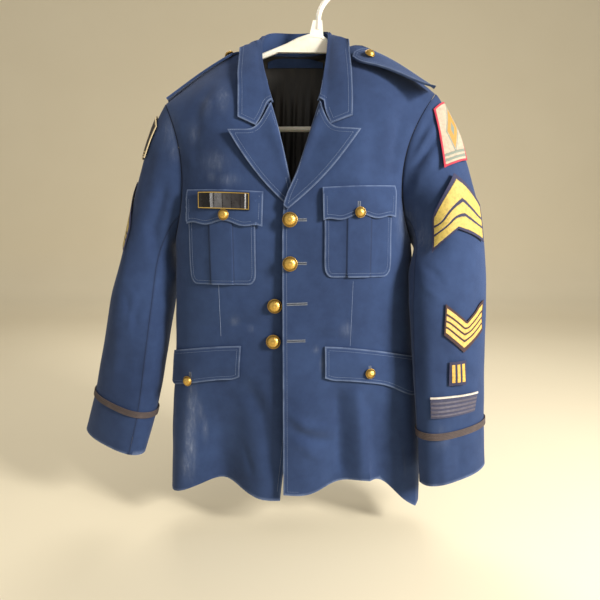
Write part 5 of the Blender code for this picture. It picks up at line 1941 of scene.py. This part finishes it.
@dataclass
class Plate:
    """The bare name plate with its thin gold border."""

    margin: float = 0.8
    border: float = 1.1
    raised: float = 0.25
    facing: float = -0.6

    def build(self, tailor: Tailor) -> None:
        """Makes the plate from its CAD solid."""
        piece = refined("name_plate", "name_plate_enamel", 0)
        set_points(piece, tailor.torso.move(points_of(piece)))
        piece.data.materials.append(tailor.wardrobe.get(ENAMEL))
        piece.data.materials.append(tailor.wardrobe.get(GILT))
        select_only(piece)
        with edit_mode("DESELECT"):
            bpy.ops.mesh.select_mode(type="FACE")
        for face in piece.data.polygons:
            face.select = face.normal[1] < self.facing
        with edit_mode(None):
            bpy.ops.mesh.inset(thickness=self.margin * MM, depth=0.0)
            bpy.ops.mesh.inset(thickness=self.border * MM, depth=0.0)
        inner = {v for f in piece.data.polygons if f.select for v in f.vertices}
        ring = [
            f
            for f in piece.data.polygons
            if f.normal[1] < self.facing and not f.select and any(v in inner for v in f.vertices)
        ]
        for face in piece.data.polygons:
            face.select = False
        for face in ring:
            face.material_index = 1
            face.select = True
        with edit_mode(None):
            bpy.ops.mesh.extrude_region_shrink_fatten(TRANSFORM_OT_shrink_fatten={"value": self.raised * MM})
        store(piece, "relief", np.full(len(piece.data.vertices), 0.8))
        smooth(piece, 30)
        tailor.finish(piece, "name_plate", "plate_black")


@dataclass
class Hanger:
    """The moulded hanger, which stays as its CAD solid."""

    def build(self, tailor: Tailor) -> None:
        """Gives the hanger its plastic."""
        node, plastic = frame["nodes"]["hanger"], tailor.wardrobe.get(PLASTIC)
        for slot in node.material_slots:
            slot.material = plastic
        if not node.material_slots:
            node.data.materials.append(plastic)


@dataclass
class Stage:
    """Floor, backdrop, lights and camera."""

    floor: float = -0.914
    width: float = 7.0
    wall: float = 3.6
    glow: float = 0.48
    sensor: float = 36.0
    focal: float = 27.06
    tilt: float = 84.0
    eye: tuple[float, float, float] = (-0.029, -0.780, -0.440)

    def build(self) -> None:
        """Makes the studio."""
        self.backdrop()
        self.lights()
        self.camera()

    def backdrop(self) -> None:
        """A floor that turns up into a far wall."""
        select_only(*bpy.context.scene.objects[:1])
        bpy.ops.mesh.primitive_plane_add(size=self.width, location=(0, -0.6, self.floor))
        sweep = bpy.context.active_object
        sweep.name = "studio_floor"
        bpy.ops.object.transform_apply(location=True, rotation=True, scale=True)
        with edit_mode("DESELECT"):
            bpy.ops.mesh.select_mode(type="EDGE")
        for edge in sweep.data.edges:
            edge.select = all(sweep.data.vertices[v].co.y > 0 for v in edge.vertices)
        with edit_mode(None):
            bpy.ops.mesh.extrude_region_move(TRANSFORM_OT_translate={"value": (0, 0.6, self.wall)})
            bpy.ops.mesh.select_all(action="SELECT")
            bpy.ops.mesh.subdivide(number_cuts=6)
        apply_modifier(sweep, "SUBSURF", "sweep", levels=1, render_levels=1)
        select_only(sweep)
        bpy.ops.object.shade_smooth()
        sweep.data.materials.append(Studio().material())

    def lights(self) -> None:
        """A key from the right, one nearer its sleeve, a wide fill, one from behind and a cream surround."""
        for name, place, aim, size, power, tint in (
            ("key", (1.6, -1.25, 0.3), (-0.04, -0.05, -0.42), 0.4, 50.0, (1.0, 0.97, 0.92)),
            ("side", (0.95, -0.65, -0.2), (0.2, -0.05, -0.45), 0.35, 7.0, (1.0, 0.98, 0.95)),
            ("fill", (-1.5, -1.9, 0.2), (-0.04, -0.05, -0.45), 1.6, 3.0, (0.95, 0.97, 1.0)),
            ("back", (-0.2, 1.6, 1.1), (-0.04, 0.0, -0.4), 1.4, 20.0, (1.0, 0.97, 0.92)),
        ):
            light = bpy.data.lights.new(name, "AREA")
            light.size, light.energy, light.color = size, power, tint
            lamp = bpy.data.objects.new(name, light)
            bpy.context.scene.collection.objects.link(lamp)
            lamp.location = place
            lamp.rotation_euler = (Vector(aim) - Vector(place)).to_track_quat("-Z", "Y").to_euler()
        world = bpy.data.worlds.new("surround")
        bpy.context.scene.world = world
        world.use_nodes = True
        world.node_tree.nodes["Background"].inputs[0].default_value = (1.0, 0.95, 0.86, 1.0)
        world.node_tree.nodes["Background"].inputs[1].default_value = self.glow

    def camera(self) -> None:
        """The camera at the photograph's angle."""
        lens = bpy.data.cameras.new("camera")
        lens.sensor_width, lens.lens = self.sensor, self.focal
        lens.clip_start, lens.clip_end = 0.02, 30.0
        camera = bpy.data.objects.new("camera", lens)
        bpy.context.scene.collection.objects.link(camera)
        camera.location = self.eye
        camera.rotation_euler = (math.radians(self.tilt), 0.0, 0.0)
        bpy.context.scene.camera = camera


def main() -> None:
    """Builds the jacket's looks in order."""
    logging.basicConfig(level=logging.INFO, format="%(name)s: %(message)s")
    bpy.context.scene.view_settings.view_transform = "Standard"
    Stage().build()
    tailor = Tailor(Wardrobe(), Torso(BODY_FOLDS))
    starts = ("front_left", "front_right", "back_left", "back_right")
    panels = [n for n in frame["nodes"] if n.startswith(starts)]
    sleeves = [n for n in frame["nodes"] if n.startswith(("upper_sleeve", "under_sleeve"))]
    tailor.still = near_tree(seam_points(sleeves, tree_of(*(frame["nodes"][n] for n in panels))))
    Body().build(tailor)
    Sleeves().build(tailor)
    tailor.still = None
    Neck().build(tailor)
    Straps().build(tailor)
    Pockets().build(tailor)
    Insignia().build(tailor)
    Buttons().build(tailor)
    Needlework().build(tailor)
    Plate().build(tailor)
    Hanger().build(tailor)
    bpy.context.view_layer.update()


if __name__ == "__main__":
    main()
